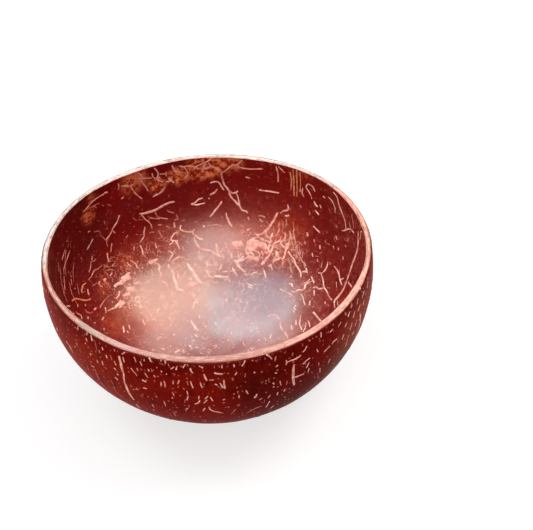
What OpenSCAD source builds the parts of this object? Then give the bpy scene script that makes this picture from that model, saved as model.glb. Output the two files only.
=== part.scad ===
// Coconut shell bowl: the lower part of a nut, sawn level at the rim and sanded flat underneath.
// The hard shell carries pale fibre strands and flakes of inner skin, each a body of its own.
// The origin is the middle of the flat base, +Z points up and -Y is the front.

/* [Bowl] */
// Outer diameter at the sawn rim
rim_d = 135; // [115:0.5:150]
// How far the belly stands out past the rim, on the radius
belly_bulge = 0.8; // [0.4:0.1:3]
// Depth of the widest ring below the rim
belly_drop = 9.8; // [6:0.2:16]
// Height from the sanded base to the sawn rim
bowl_h = 65; // [52:0.5:75]
// Diameter of the flat that the sanding leaves underneath
base_d = 44; // [30:0.5:56]
// Fullness of the belly: 2 is an ellipse, more is squarer
fullness = 2.1; // [1.95:0.05:2.4]

/* [Wall] */
// Mean wall at the rim
rim_wall = 3; // [2.4:0.1:4.5]
// Wall left above the sanded base
floor_wall = 2.8; // [2:0.1:5]
// Rounding of the rim's outer corner
outer_ease = 0.9; // [0.4:0.1:1]
// Rounding of the rim's inner corner
inner_ease = 0.5; // [0.2:0.1:0.6]

/* [Strands] */
// Width of a main strand
strand_w = 1.2; // [0.8:0.1:1.6]
// Thickness of a strand, from its bed to its back
strand_t = 0.9; // [0.7:0.05:1.2]
// How far a strand's back stands out of the wall
strand_proud = 0.25; // [0.15:0.05:0.35]
// Width of a fine strand
fine_w = 0.8; // [0.6:0.1:1.2]

/* [Bundle] */
// Fibres that run side by side from the rim at the right rear
bundle_fibres = 4; // [3:1:5]
// Distance from one of them to the next
bundle_pitch = 1.5; // [1.3:0.1:2]

/* [Skin] */
// Thickness of a flake of inner skin
flake_t = 0.8; // [0.6:0.05:1.2]
// How far a flake stands out of the wall
flake_proud = 0.2; // [0.15:0.05:0.3]

/* [Smoothness] */
// Steps round the bowl
round_steps = 60; // [48:6:72]
// Steps down each side of the wall
side_steps = 13; // [10:1:16]

/* [Hidden] */

// One overrun serves the sanding cut
overrun = 1;

// The nut's three lobes, and how far it is from round
lobe_share = 0.0097;
oval_share = 0.0028;
lobe_turn = 41;
oval_turn = -8;

// The cavity isn't centred: the wall is thick in front and thin at the sides and back
wall_lean_share = 0.18;
wall_oval_share = 0.15;
wall_ripple_share = 0.08;
wall_lean_turn = 275;
wall_ripple_turn = 222;
wall_ripples = 7;

// Angles down the side are measured from the belly: the rim lies above it, the pole at 90
belly_r = rim_d / 2 + belly_bulge;
belly_z = bowl_h - belly_drop;
rim_angle = -acos(pow(rim_d / 2 / belly_r, fullness / 2));
base_angle = acos(pow(base_d / 2 / belly_r, fullness / 2));
pole_angle = 90;
rise_over_belly = belly_drop / rounded(sin(-rim_angle));
fall_under_belly = belly_z / rounded(sin(base_angle));
pole_z = belly_z - fall_under_belly;
pole_wall = floor_wall - pole_z;

// Where the eased corners start, as a share of the way from the rim to the pole
side_length = (belly_r + fall_under_belly) / 2 * (pole_angle - rim_angle) * PI / 180;
outer_ease_share = outer_ease / side_length;
inner_ease_share = inner_ease / side_length;

// The rounded power that makes a circle's sine or cosine into the nut's
function rounded(v) = sign(v) * pow(abs(v), 2 / fullness);
function mix(a, b, t) = a + (b - a) * t;
function unit(v) = v / norm(v);

// How the outline and the rim's wall change with the azimuth
function lobes(az) =
    1 + lobe_share * cos(3 * (az - lobe_turn)) + oval_share * cos(2 * (az - oval_turn));
function wall_at_rim(az) =
    rim_wall * (1 + wall_lean_share * cos(az - wall_lean_turn)
        + wall_oval_share * cos(2 * (az - wall_lean_turn))
        + wall_ripple_share * cos(wall_ripples * (az - wall_ripple_turn)));

// [radius, height] on the nut's outside, at an azimuth and an angle down the side
function nut_side(az, down) =
    [belly_r * rounded(cos(down)) * lobes(az),
     belly_z - (down < 0 ? rise_over_belly : fall_under_belly) * rounded(sin(down))];

// [radius, height] on either face of the wall, where share runs from the rim to the pole
function side_angle(share) = mix(rim_angle, pole_angle, share);
function outer_side(az, share) = nut_side(az, side_angle(share));
function inner_side(az, share) =
    let (down = side_angle(share),
         wall = mix(wall_at_rim(az), pole_wall, share * share),
         p = nut_side(az, down))
    [p[0] - wall * cos(down), p[1] + wall * max(sin(down), 0)];

// Four points round an eased corner, from p to q by way of the sharp corner
function eased(p, corner, q) =
    [for (t = [0 : 1 / 3 : 1.01]) mix(mix(p, corner, t), mix(corner, q, t), t)];

// The wall's section at an azimuth: up the cavity, over the rim and down the outside.
// The two poles close it, so they are left off.
function wall_section(az) =
    let (in_top = inner_side(az, 0), out_top = outer_side(az, 0))
    concat(
        [for (k = [side_steps - 1 : -1 : 1]) inner_side(az, k / side_steps)],
        eased(inner_side(az, inner_ease_share), in_top, in_top + [inner_ease, 0]),
        eased(out_top - [outer_ease, 0], out_top, outer_side(az, outer_ease_share)),
        [for (k = [1 : side_steps - 1]) outer_side(az, k / side_steps)]);

// A closed skin through one section per azimuth, with a point at each pole
module round_skin(sections, first_pole, last_pole) {
    n = len(sections);
    rows = len(sections[0]);
    points = concat(
        [for (i = [0 : n - 1], p = sections[i])
            [p[0] * cos(360 * i / n), p[0] * sin(360 * i / n), p[1]]],
        [first_pole, last_pole]);
    polyhedron(points, concat(
        [for (i = [0 : n - 1], k = [0 : rows - 2])
            let (a = i * rows + k, b = (i + 1) % n * rows + k) [a, b, b + 1]],
        [for (i = [0 : n - 1], k = [0 : rows - 2])
            let (a = i * rows + k, b = (i + 1) % n * rows + k) [a, b + 1, a + 1]],
        [for (i = [0 : n - 1]) [n * rows, (i + 1) % n * rows, i * rows]],
        [for (i = [0 : n - 1])
            [n * rows + 1, i * rows + rows - 1, (i + 1) % n * rows + rows - 1]]));
}

// A place on the cavity or on the outside, and the way out of the wall there
function place(az, p) = [p[0] * cos(az), p[0] * sin(az), p[1]];
function on_wall(inside, az, share) =
    place(az, inside ? inner_side(az, share) : outer_side(az, share));
function out_of_wall(inside, az, share) =
    let (turn = 1, step_share = 0.01,
         across = on_wall(inside, az + turn, share) - on_wall(inside, az - turn, share),
         down = on_wall(inside, az, share + step_share) - on_wall(inside, az, share))
    unit(cross(across, down)) * (inside ? 1 : -1);

// A smooth way through a route's places: two steps from each place to the next
function smooth(route) =
    let (last = len(route) - 1)
    [for (i = [0 : last - 1], t = [0, 0.5])
        let (a = route[max(i - 1, 0)], b = route[i],
             c = route[i + 1], d = route[min(i + 2, last)])
        t == 0 ? b : (b + c) / 2 + (b + c - a - d) / 16,
     route[last]];

// A strand bedded in the wall: a flattened tube that tapers to both ends
module strand(route, inside = true, w = strand_w, t = strand_t, sides = 6) {
    way = smooth(route);
    n = len(way);
    at = [for (p = way) on_wall(inside, p[0], p[1])];
    points = [for (i = [0 : n - 1])
        let (up = out_of_wall(inside, way[i][0], way[i][1]),
             along = unit(at[min(i + 1, n - 1)] - at[max(i - 1, 0)]),
             side = unit(cross(up, along)),
             taper = mix(0.45, 1, sin(180 * (i + 0.5) / n)),
             middle = at[i] + up * (strand_proud - t / 2))
        for (k = [0 : sides - 1])
            let (a = 360 * (k + 0.5) / sides)
            middle + side * w / 2 * taper * cos(a) + up * t / 2 * sin(a)];
    polyhedron(points, concat(
        [[for (k = [0 : sides - 1]) k]],
        [for (i = [0 : n - 2], k = [0 : sides - 1])
            let (a = i * sides + k, b = i * sides + (k + 1) % sides) [a, b + sides, b]],
        [for (i = [0 : n - 2], k = [0 : sides - 1])
            let (a = i * sides + k, b = i * sides + (k + 1) % sides) [a, a + sides, b + sides]],
        [[for (k = [sides - 1 : -1 : 0]) (n - 1) * sides + k]]));
}

module shell() {
    color("#7a1f14")
    difference() {
        round_skin([for (i = [0 : round_steps - 1]) wall_section(360 * i / round_steps)],
            [0, 0, pole_z + pole_wall], [0, 0, pole_z]);
        // The sanding that leaves the flat base
        translate([-rim_d / 2, -rim_d / 2, pole_z - overrun])
            cube([rim_d, rim_d, overrun - pole_z]);
    }
}

// Routes are lists of places: azimuth in degrees, share of the way from the rim to the pole.
// Main strands of the cavity, clockwise from the right, with their forks after them
inner_strand_shares = [
    [[33, 0.02], [29, 0.07], [26, 0.11], [24, 0.15]],
    [[27, 0.175], [22, 0.14], [17, 0.12]],
    [[36, 0.07], [33, 0.09], [32, 0.12]],
    [[13, 0.10], [12.5, 0.19], [13, 0.26], [11.5, 0.33], [10, 0.38], [9.5, 0.44]],
    [[11.5, 0.33], [8.5, 0.32], [6, 0.315]],
    [[23, 0.35], [18, 0.355], [13.5, 0.36]],
    [[28, 0.35], [27, 0.38], [30, 0.41]],
    [[28, 0.43], [22, 0.45], [16, 0.46], [12, 0.47]],
    [[22, 0.45], [26, 0.485], [23, 0.515]],
    [[33, 0.49], [32, 0.53], [38, 0.565]],
    [[43, 0.085], [44, 0.065], [46.5, 0.06], [47, 0.085], [45, 0.115]],
    [[60, 0.02], [59.5, 0.06], [60, 0.10]],
    [[67, 0.155], [63, 0.15], [59, 0.155]],
    [[83, 0.08], [82, 0.12], [80, 0.165], [76, 0.225], [74, 0.265], [71.5, 0.28]],
    [[80, 0.165], [78, 0.18], [75.5, 0.18]],
    [[83, 0.08], [78, 0.045], [72, 0.05], [66, 0.05]],
    [[86, 0.13], [85, 0.15], [84, 0.17]],
    [[83, 0.23], [85.5, 0.27], [88, 0.31]],
    [[118, 0.22], [113, 0.22], [107, 0.215], [102, 0.21]],
    [[118, 0.22], [115, 0.26], [114, 0.31]],
    [[125, 0.05], [120, 0.07], [119, 0.11], [116, 0.15]],
    [[116, 0.04], [110, 0.06], [105, 0.06]],
    [[105, 0.12], [108, 0.15], [111, 0.155]],
    [[97, 0.04], [95.5, 0.08]],
    [[143, 0.08], [137, 0.06], [131, 0.045]],
    [[127, 0.18], [130, 0.23], [135, 0.26], [136, 0.29]],
    [[139, 0.195], [137, 0.215], [135, 0.26]],
    [[143, 0.36], [148, 0.355], [153, 0.36]],
    [[169, 0.33], [164, 0.365], [163, 0.40], [159, 0.42]],
    [[117, 0.29], [119, 0.33], [122, 0.35]],
    [[111, 0.52], [111, 0.57], [109, 0.62], [101, 0.615]],
    [[102, 0.51], [99, 0.56], [96, 0.615]],
    [[102, 0.34], [99, 0.36], [96, 0.37]],
    [[92, 0.44], [89, 0.465], [83, 0.50]],
    [[92, 0.55], [87, 0.58], [78, 0.60]],
    [[40, 0.715], [37, 0.695], [32, 0.69]],
    [[28, 0.695], [22, 0.71], [15, 0.705], [7, 0.70]],
    [[200, 0.10], [204, 0.16], [203, 0.22]],
    [[222, 0.30], [228, 0.34], [231, 0.40]],
    [[246, 0.12], [249, 0.18], [248, 0.23]],
    [[262, 0.22], [258, 0.28], [260, 0.36]],
    [[284, 0.10], [288, 0.17], [286, 0.24]],
    [[300, 0.32], [306, 0.36], [309, 0.43]],
    [[322, 0.14], [326, 0.22], [325, 0.28]],
    [[340, 0.30], [344, 0.38], [342, 0.46]],
    // Finer ones between them: high on the right and behind
    [[9.5, 0.05], [11, 0.10]], [[42, 0.25], [38, 0.265]], [[59, 0.02], [56.5, 0.045]],
    [[47.5, 0.09], [48, 0.115], [47, 0.135]], [[84.5, 0.165], [85.5, 0.18], [87.5, 0.195]],
    [[87.5, 0.135], [84, 0.13], [82, 0.17]], [[93, 0.05], [90, 0.035], [87.5, 0.02]],
    [[99, 0.04], [94, 0.045], [90, 0.065], [87, 0.055]], [[102, 0.02], [101, 0.045], [100, 0.075]],
    [[109, 0.02], [108, 0.04], [108.5, 0.065]], [[115, 0.05], [114.5, 0.08], [113, 0.12]],
    [[90.5, 0.21], [93, 0.22], [95.5, 0.235]], [[95.5, 0.235], [92.5, 0.24], [90, 0.235]],
    [[111, 0.235], [110.5, 0.26], [106.5, 0.285]], [[81, 0.29], [80.5, 0.32], [78.5, 0.355]],
    [[111.5, 0.325], [111, 0.35], [110.5, 0.375]], [[89.5, 0.35], [86, 0.345], [82.5, 0.35]],
    // On the left
    [[141, 0.225], [143, 0.235], [145.5, 0.25]], [[133.5, 0.295], [135.5, 0.33]],
    [[137.5, 0.32], [138, 0.345], [138.5, 0.365]], [[154, 0.18], [159, 0.20], [162, 0.21], [164, 0.225]],
    [[143.5, 0.315], [146.5, 0.31], [148, 0.325], [150, 0.335]], [[164.5, 0.23], [168.5, 0.27]],
    [[155, 0.36], [158, 0.35], [161, 0.365]], [[121.5, 0.36], [121.5, 0.385], [122, 0.41]],
    [[129, 0.405], [128, 0.42], [127, 0.435], [127.5, 0.455]], [[148, 0.405], [149.5, 0.41], [149, 0.435]],
    [[149, 0.48], [154, 0.475], [159, 0.48]], [[142.5, 0.50], [145, 0.51], [148, 0.515]],
    [[146, 0.53], [149, 0.535], [152.5, 0.535]], [[157, 0.515], [154.5, 0.525], [152.5, 0.535]],
    [[145, 0.55], [148, 0.55], [151, 0.55]],
    // Low down
    [[102.5, 0.36], [106, 0.375], [107, 0.385], [104, 0.40]], [[95.5, 0.385], [94, 0.40], [92, 0.415]],
    [[96, 0.395], [95.5, 0.425], [94.5, 0.45]], [[104, 0.395], [104, 0.42], [103.5, 0.44]],
    [[86, 0.43], [85.5, 0.455], [83.5, 0.495]], [[109.5, 0.435], [108, 0.445], [109, 0.465], [110.5, 0.48]],
    [[109.5, 0.49], [107, 0.48], [104.5, 0.475]], [[118, 0.48], [116, 0.49], [117.5, 0.50], [118, 0.535]],
    [[119.5, 0.555], [117.5, 0.565], [116.5, 0.58], [118, 0.595]], [[77, 0.545], [75.5, 0.56], [73.5, 0.58]],
    [[106, 0.65], [102.5, 0.655], [101.5, 0.70]], [[101.5, 0.68], [104, 0.705], [106.5, 0.73]],
    [[112.5, 0.775], [113, 0.80], [110.5, 0.84]], [[48, 0.455], [46.5, 0.47], [44.5, 0.49]],
    [[44.5, 0.585], [40, 0.585], [35.5, 0.58]], [[31, 0.55], [27, 0.56], [23.5, 0.57]],
    [[32.5, 0.46], [28.5, 0.475]], [[15, 0.555], [10, 0.55], [5.5, 0.54]],
    [[19.5, 0.61], [13, 0.635], [8, 0.635]], [[12, 0.605], [6, 0.63]]];

module inner_strands() {
    color("#e2ab93")
    for (route = inner_strand_shares)
        strand(route, w = len(route) > 3 ? strand_w : fine_w);
}

// Strands that spread down the right rear of the cavity like the ribs of a fan
fan_shares = [
    [[59, 0.26], [60.5, 0.30], [62, 0.34], [66, 0.385]],
    [[54.5, 0.21], [54.5, 0.235], [57.5, 0.25]],
    [[57.5, 0.31], [57, 0.335], [58, 0.355]],
    [[60, 0.37], [59.5, 0.395], [59, 0.415]],
    [[54, 0.335], [53, 0.36], [54, 0.38]],
    [[52, 0.33], [50.5, 0.37], [51, 0.41], [50.5, 0.455]],
    [[55.5, 0.375], [57.5, 0.415], [58.5, 0.465], [61, 0.51]],
    [[49, 0.41], [47, 0.43], [43, 0.445], [40, 0.47], [37, 0.495]],
    [[50, 0.32], [48, 0.365], [45.5, 0.395]],
    [[53.5, 0.445], [54.5, 0.465], [55.5, 0.49]],
    [[71, 0.50], [73, 0.51], [73.5, 0.53], [70, 0.56]]];

module strand_fan() {
    color("#edb9a0")
    for (route = fan_shares)
        strand(route, w = len(route) > 3 ? strand_w : fine_w);
}

// Straight fibres side by side, from just under the rim, each a little shorter than the last
bundle_turn = 52;
bundle_shares = [0.015, 0.08, 0.145];
bundle_step_share = 0.05;

module fibre_bundle() {
    turn = bundle_pitch / belly_r * 180 / PI;
    color("#d99a6e")
    for (k = [0 : bundle_fibres - 1])
        strand([for (s = bundle_shares)
            [bundle_turn + (k - (bundle_fibres - 1) / 2) * turn, s * (1 - k * bundle_step_share)]],
            w = fine_w);
}

// Outlines of the flakes, left to right along the top and back along the bottom
flake_shares = [
    [[79, 0.425], [76, 0.42], [73.5, 0.42], [73.5, 0.445], [76, 0.45], [78.5, 0.455]],
    [[71.5, 0.43], [69, 0.41], [66, 0.40], [61.5, 0.41], [61.5, 0.44], [64.5, 0.455], [69.5, 0.465]],
    [[69.5, 0.475], [64, 0.475], [63, 0.495], [68, 0.495]],
    [[145, 0.465], [143, 0.46], [139, 0.46], [136.5, 0.45], [133, 0.455], [131, 0.45], [131.5, 0.475],
        [135.5, 0.49], [139, 0.485], [143, 0.48]],
    [[122, 0.46], [120, 0.445], [115.5, 0.44], [115, 0.455], [117, 0.465], [120, 0.47]],
    [[134, 0.515], [131.5, 0.505], [130, 0.51], [129.5, 0.525], [131, 0.53]]];

// A flake: a thin plate with its outline and its middle on the wall
module flake(outline) {
    n = len(outline);
    ones = [for (p = outline) 1];
    way = concat(outline, [ones * outline / n]);
    function layer(height) =
        [for (p = way) on_wall(true, p[0], p[1]) + out_of_wall(true, p[0], p[1]) * height];
    polyhedron(concat(layer(flake_proud), layer(flake_proud - flake_t)), concat(
        [for (i = [0 : n - 1]) [n, i, (i + 1) % n]],
        [for (i = [0 : n - 1]) [2 * n + 1, n + 1 + (i + 1) % n, n + 1 + i]],
        [for (i = [0 : n - 1]) [i, n + 1 + i, (i + 1) % n]],
        [for (i = [0 : n - 1]) [(i + 1) % n, n + 1 + i, n + 1 + (i + 1) % n]]));
}

module skin_flakes() {
    color("#f2c6ae")
    for (outline = flake_shares)
        flake(outline);
}

// Husk fibres that the sanding left in the outside
outer_fibre_shares = [
    [[237.5, 0.04], [238.5, 0.12], [239.5, 0.21], [239.5, 0.27], [240, 0.34]],
    [[296, 0.09], [295, 0.13], [295.5, 0.165], [296, 0.20]],
    [[295.5, 0.15], [299.5, 0.165]],
    [[293, 0.06], [298, 0.065]],
    [[210, 0.165], [212, 0.18], [213.5, 0.21]],
    [[267, 0.275], [268, 0.315], [271.5, 0.345]],
    [[330, 0.10], [331, 0.16], [329, 0.22]],
    [[352, 0.22], [355, 0.27], [354, 0.34]],
    [[18, 0.12], [20, 0.19], [19, 0.27]],
    [[57, 0.05], [58, 0.13], [60, 0.20], [60, 0.30]],
    [[96, 0.22], [100, 0.28], [101, 0.36]],
    [[128, 0.08], [127, 0.15], [129, 0.23]],
    [[163, 0.15], [166, 0.22], [165, 0.31]],
    // Short ones that the sanding cut across, left of the middle
    [[221, 0.215], [221, 0.25]], [[220.5, 0.295], [220, 0.345]], [[227.5, 0.02], [228, 0.065]],
    [[225.5, 0.20], [225.5, 0.28], [227, 0.355]], [[232, 0.22], [232.5, 0.29]],
    [[231.5, 0.31], [233, 0.335], [234.5, 0.36]], [[239.5, 0.38], [239.5, 0.43]],
    [[241.5, 0.085], [243, 0.105], [243.5, 0.12]], [[245, 0.03], [246, 0.055]],
    [[246.5, 0.09], [247.5, 0.115]], [[245, 0.135], [247, 0.14]], [[245, 0.19], [246.5, 0.185]],
    [[247, 0.31], [247, 0.34]], [[251.5, 0.12], [251.5, 0.145]], [[253.5, 0.115], [253.5, 0.145]],
    [[252, 0.255], [252, 0.30]], [[254, 0.345], [254.5, 0.41]], [[256, 0.105], [256, 0.125]],
    [[258, 0.10], [257.5, 0.12]], [[262, 0.025], [262.5, 0.05]], [[261.5, 0.10], [262.5, 0.135]],
    [[260.5, 0.16], [260.5, 0.18]], [[260.5, 0.20], [260, 0.22]], [[260, 0.29], [259, 0.315]],
    [[264, 0.19], [264, 0.21]], [[264, 0.22], [262.5, 0.25]], [[264.5, 0.10], [265, 0.135]],
    // And right of it
    [[266, 0.055], [267, 0.095]], [[269.5, 0.055], [272, 0.065]], [[271, 0.11], [272, 0.14]],
    [[267, 0.19], [265.5, 0.235]], [[267.5, 0.195], [268.5, 0.225]], [[265.5, 0.285], [264.5, 0.315]],
    [[277, 0.20], [277, 0.22]], [[279.5, 0.02], [278.5, 0.045]], [[279, 0.175], [280, 0.205]],
    [[280, 0.385], [282, 0.355], [285, 0.34]], [[283, 0.225], [282, 0.245]],
    [[286.5, 0.02], [288, 0.035]], [[287.5, 0.255], [287, 0.275]], [[287.5, 0.31], [286.5, 0.37]],
    [[289.5, 0.025], [289, 0.05]], [[290, 0.25], [290, 0.275]], [[290.5, 0.175], [291, 0.205]],
    [[293, 0.07], [293, 0.09]], [[296.5, 0.19], [300, 0.195]], [[301, 0.04], [299.5, 0.06]],
    [[302, 0.11], [299, 0.125]], [[301.5, 0.14], [300.5, 0.165]], [[305, 0.09], [305.5, 0.11]],
    [[307, 0.02], [307, 0.04]], [[307, 0.225], [307.5, 0.26]], [[311, 0.12], [308, 0.13]],
    [[311.5, 0.21], [311, 0.23]], [[314.5, 0.115], [312, 0.12]], [[317, 0.04], [315, 0.055]],
    [[317.5, 0.305], [315, 0.345]]];

module outer_fibres() {
    color("#d79f87")
    for (route = outer_fibre_shares)
        strand(route, inside = false, w = len(route) > 3 ? strand_w : fine_w);
}

shell();
inner_strands();
strand_fan();
fibre_bundle();
skin_flakes();
outer_fibres();
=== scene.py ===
# %% [markdown]
# # A bowl made from half a coconut shell
# The bowl is one hard shell with pale husk strands grown into it, inside and out. It was
# first built as solids, and this lesson dresses those solids: the shell gets a fine mesh
# and four finishes, and the strands, flecks and flakes are laid on it one by one.
# Lengths are in metres, apart from the nut's sizes and the widths of strands, which are
# in mm. +Z is up, and the origin is the middle of the flat base.

# %% The packed solids
import math
import random

import bmesh
import bpy
from mathutils import Matrix, Vector, noise
from mathutils.bvhtree import BVHTree


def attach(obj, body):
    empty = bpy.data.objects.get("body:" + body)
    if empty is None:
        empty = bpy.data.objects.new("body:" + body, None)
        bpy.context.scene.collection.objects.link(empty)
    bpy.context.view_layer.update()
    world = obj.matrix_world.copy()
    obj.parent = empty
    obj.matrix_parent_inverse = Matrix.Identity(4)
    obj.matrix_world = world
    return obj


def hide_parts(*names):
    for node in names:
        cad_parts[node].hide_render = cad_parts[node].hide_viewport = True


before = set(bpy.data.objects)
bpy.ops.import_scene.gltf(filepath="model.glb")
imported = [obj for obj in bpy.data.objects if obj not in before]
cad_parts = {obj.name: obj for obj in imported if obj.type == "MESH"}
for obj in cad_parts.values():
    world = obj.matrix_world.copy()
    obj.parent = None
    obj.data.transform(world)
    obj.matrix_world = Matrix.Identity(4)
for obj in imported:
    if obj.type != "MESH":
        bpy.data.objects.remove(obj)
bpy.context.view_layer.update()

# %% [markdown]
# ## The camera
# A camera was fitted to the rim and the outline of the bowl in the photograph. It looks
# down at about 40 degrees from over half a metre away, and it is turned about two
# degrees round its own line of sight. Places on the bowl are read from the photograph
# in pixels later on, so the camera comes first, with a helper that follows a pixel's
# line of sight into the scene.

# %% The camera
IMAGE_W, IMAGE_H = 533, 530
FOCAL_PX = 1410.9
EYE = Vector((0, -0.44892, 0.42999))
AIM = Vector((0.02318, -0.01307, 0.065))
ROLL = math.radians(-1.92)

level = (AIM - EYE).to_track_quat("-Z", "Y").to_matrix()
camera_turn = level @ Matrix.Rotation(ROLL, 3, "Z")
lens = bpy.data.cameras.new("camera")
lens.sensor_width, lens.sensor_fit = 36, "HORIZONTAL"
lens.lens = lens.sensor_width * FOCAL_PX / IMAGE_W
lens.clip_start = 0.01
camera = bpy.data.objects.new("camera", lens)
camera.matrix_world = Matrix.Translation(EYE) @ camera_turn.to_4x4()
bpy.context.scene.collection.objects.link(camera)
bpy.context.scene.camera = camera


def sight(x, y):
    """The direction from the camera through a pixel of the photograph."""
    return (camera_turn @ Vector(((x - IMAGE_W / 2) / FOCAL_PX,
                                  -(y - IMAGE_H / 2) / FOCAL_PX, -1))).normalized()


print("lens:", round(lens.lens, 1), "mm", "distance:", round((AIM - EYE).length, 3), "m")

# %% [markdown]
# ## The shape of the nut
# A coconut is nearly a ball, a little fuller in the shoulder, with three soft lobes. A
# power a little over 2 in place of a circle's makes the fuller side, and two cosines
# make the lobes. The wall is thicker in front than behind, because the hollow isn't in
# the middle of the nut. These are the same rules and sizes as the solid's, in mm.

# %% The nut's sizes
MM = 0.001
RIM_R, BELLY_R, BELLY_DROP, HEIGHT, BASE_R = 67.5, 68.3, 9.8, 65.0, 22.0
RIM_WALL, FLOOR_WALL, FULLNESS = 3.0, 2.8, 2.1
LOBE_SHARE, LOBE_TURN, OVAL_SHARE, OVAL_TURN = 0.0097, 41, 0.0028, -8
WALL_LEAN, WALL_OVAL, WALL_LEAN_TURN = 0.18, 0.15, 275
WALL_RIPPLE, WALL_RIPPLES, WALL_RIPPLE_TURN = 0.08, 7, 222


def rounded(v):
    return math.copysign(abs(v) ** (2 / FULLNESS), v)


belly_z = HEIGHT - BELLY_DROP
rim_angle = -math.acos((RIM_R / BELLY_R) ** (FULLNESS / 2))
base_angle = math.acos((BASE_R / BELLY_R) ** (FULLNESS / 2))
rise = BELLY_DROP / rounded(math.sin(-rim_angle))
fall = belly_z / rounded(math.sin(base_angle))
pole_wall = FLOOR_WALL - (belly_z - fall)
BASE_SHARE = (base_angle - rim_angle) / (math.pi / 2 - rim_angle)
print("share of the way down at the base's edge:", round(BASE_SHARE, 3))

# %% The nut's rules
def cosd(a):
    return math.cos(math.radians(a))


def lobes(az):
    return (1 + LOBE_SHARE * cosd(3 * (az - LOBE_TURN))
            + OVAL_SHARE * cosd(2 * (az - OVAL_TURN)))


def wall_at_rim(az):
    return RIM_WALL * (1 + WALL_LEAN * cosd(az - WALL_LEAN_TURN)
                       + WALL_OVAL * cosd(2 * (az - WALL_LEAN_TURN))
                       + WALL_RIPPLE * cosd(WALL_RIPPLES * (az - WALL_RIPPLE_TURN)))


def side_point(side, share, az):
    """Radius and height of a place. Share runs from the rim, 0, to the pole, 1."""
    down = rim_angle + share * (math.pi / 2 - rim_angle)
    radius = BELLY_R * rounded(max(math.cos(down), 0)) * lobes(az)
    height = belly_z - (rise if down < 0 else fall) * rounded(math.sin(down))
    if side == "outside":
        return radius, height
    wall = wall_at_rim(az) + (pole_wall - wall_at_rim(az)) * share ** 2
    return (max(radius - wall * math.cos(down), 0),
            height + wall * max(math.sin(down), 0))


def place(side, share, az):
    radius, height = side_point(side, share, az)
    return Vector((radius * cosd(az), radius * cosd(az - 90), height)) * MM


print("wall at the front:", round(wall_at_rim(270), 2), "mm")

# %% [markdown]
# ## The shell
# The quickest way to a bowl is to draw half of its section and spin it. A bmesh spin
# gives a true round bowl, so each point of the section also carries where it belongs:
# which face it is on and how far down. After the spin every point is moved to the nut's
# own place at its azimuth, and the sawn edges are eased with a small bevel.

# %% The section, spun round
STEPS, CAVITY_ROWS, RIM_ROWS, OUTSIDE_ROWS, BASE_ROWS = 288, 76, 5, 66, 6
SIDES = ["cavity", "rim", "outside", "base"]
WELD, ON_AXIS = 1e-7, 1e-6
bowl = bmesh.new()
side_of = bowl.verts.layers.int.new("side")
share_of = bowl.verts.layers.float.new("share")


def nut_place(side, share, az):
    """Where a point of the section goes: the rim and the base join the two faces."""
    if side in ("cavity", "outside"):
        return place(side, share, az)
    if side == "rim":
        return place("cavity", 0, az).lerp(place("outside", 0, az), share)
    edge = place("outside", BASE_SHARE, az)
    edge.z = 0
    return edge.lerp(Vector((0, 0, 0)), share)


section = [("cavity", 1 - k / CAVITY_ROWS) for k in range(CAVITY_ROWS + 1)]
section += [("rim", (k + 1) / (RIM_ROWS + 1)) for k in range(RIM_ROWS)]
section += [("outside", BASE_SHARE * k / OUTSIDE_ROWS) for k in range(OUTSIDE_ROWS + 1)]
section += [("base", (k + 1) / BASE_ROWS) for k in range(BASE_ROWS)]
corners = []
for side, share in section:
    corner = bowl.verts.new(nut_place(side, share, 0))
    corner[side_of], corner[share_of] = SIDES.index(side), share
    corners.append(corner)
line = [bowl.edges.new(pair) for pair in zip(corners, corners[1:])]
bmesh.ops.spin(bowl, geom=corners + line, cent=(0, 0, 0), axis=(0, 0, 1),
               angle=math.tau, steps=STEPS, use_merge=True)
bmesh.ops.remove_doubles(bowl, verts=bowl.verts, dist=WELD)
print("section points:", len(section), "shell faces:", len(bowl.faces))

# %% The nut's own shape, with a hand-finished unevenness
NUT_MIDDLE_Z = 0.06
CAVITY_WAVE, CAVITY_WAVES = 0.00012, 90
OUTSIDE_WAVE, OUTSIDE_WAVES = 0.00010, 110
for corner in bowl.verts:
    if corner.co.xy.length > ON_AXIS:
        az = math.degrees(math.atan2(corner.co.y, corner.co.x))
        side = SIDES[corner[side_of]]
        corner.co = nut_place(side, corner[share_of], az)
        away = Vector((corner.co.x, corner.co.y, corner.co.z - NUT_MIDDLE_Z)).normalized()
        if side == "cavity":
            corner.co += away * CAVITY_WAVE * noise.noise(corner.co * CAVITY_WAVES)
        elif side == "outside":
            corner.co -= away * OUTSIDE_WAVE * (1 + noise.noise(corner.co * OUTSIDE_WAVES))
bmesh.ops.recalc_face_normals(bowl, faces=bowl.faces)
for face in bowl.faces:
    kinds = {SIDES[corner[side_of]] for corner in face.verts}
    zone = next((name for name in ("rim", "base") if name in kinds), kinds.pop())
    face.material_index = SIDES.index(zone)
print("faces of the rim:", sum(face.material_index == 1 for face in bowl.faces))

# %% Eased edges
EASES = ((("cavity", "rim"), 0.0005), (("rim", "outside"), 0.0008), (("outside", "base"), 0.0004))
for pair, ease in EASES:
    slots = {SIDES.index(side) for side in pair}
    edges = [edge for edge in bowl.edges
             if {face.material_index for face in edge.link_faces} == slots]
    eased = set(bmesh.ops.bevel(bowl, geom=edges, affect="EDGES", offset=ease, segments=3,
                                profile=0.5, material=-1)["faces"])
    for face in eased:  # left alone, the middle strip takes either side's finish by chance
        if all(other in eased for edge in face.edges for other in edge.link_faces):
            face.material_index = SIDES.index(pair[1])
for face in bowl.faces:
    face.smooth = True
shell_mesh = bpy.data.meshes.new("bowl_shell")
bowl.to_mesh(shell_mesh)
shell = bpy.data.objects.new("bowl_shell", shell_mesh)
bpy.context.scene.collection.objects.link(shell)
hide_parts("shell")
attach(shell, "root")
surface = BVHTree.FromBMesh(bowl)
print("shell faces with its eased edges:", len(shell_mesh.polygons))

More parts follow.
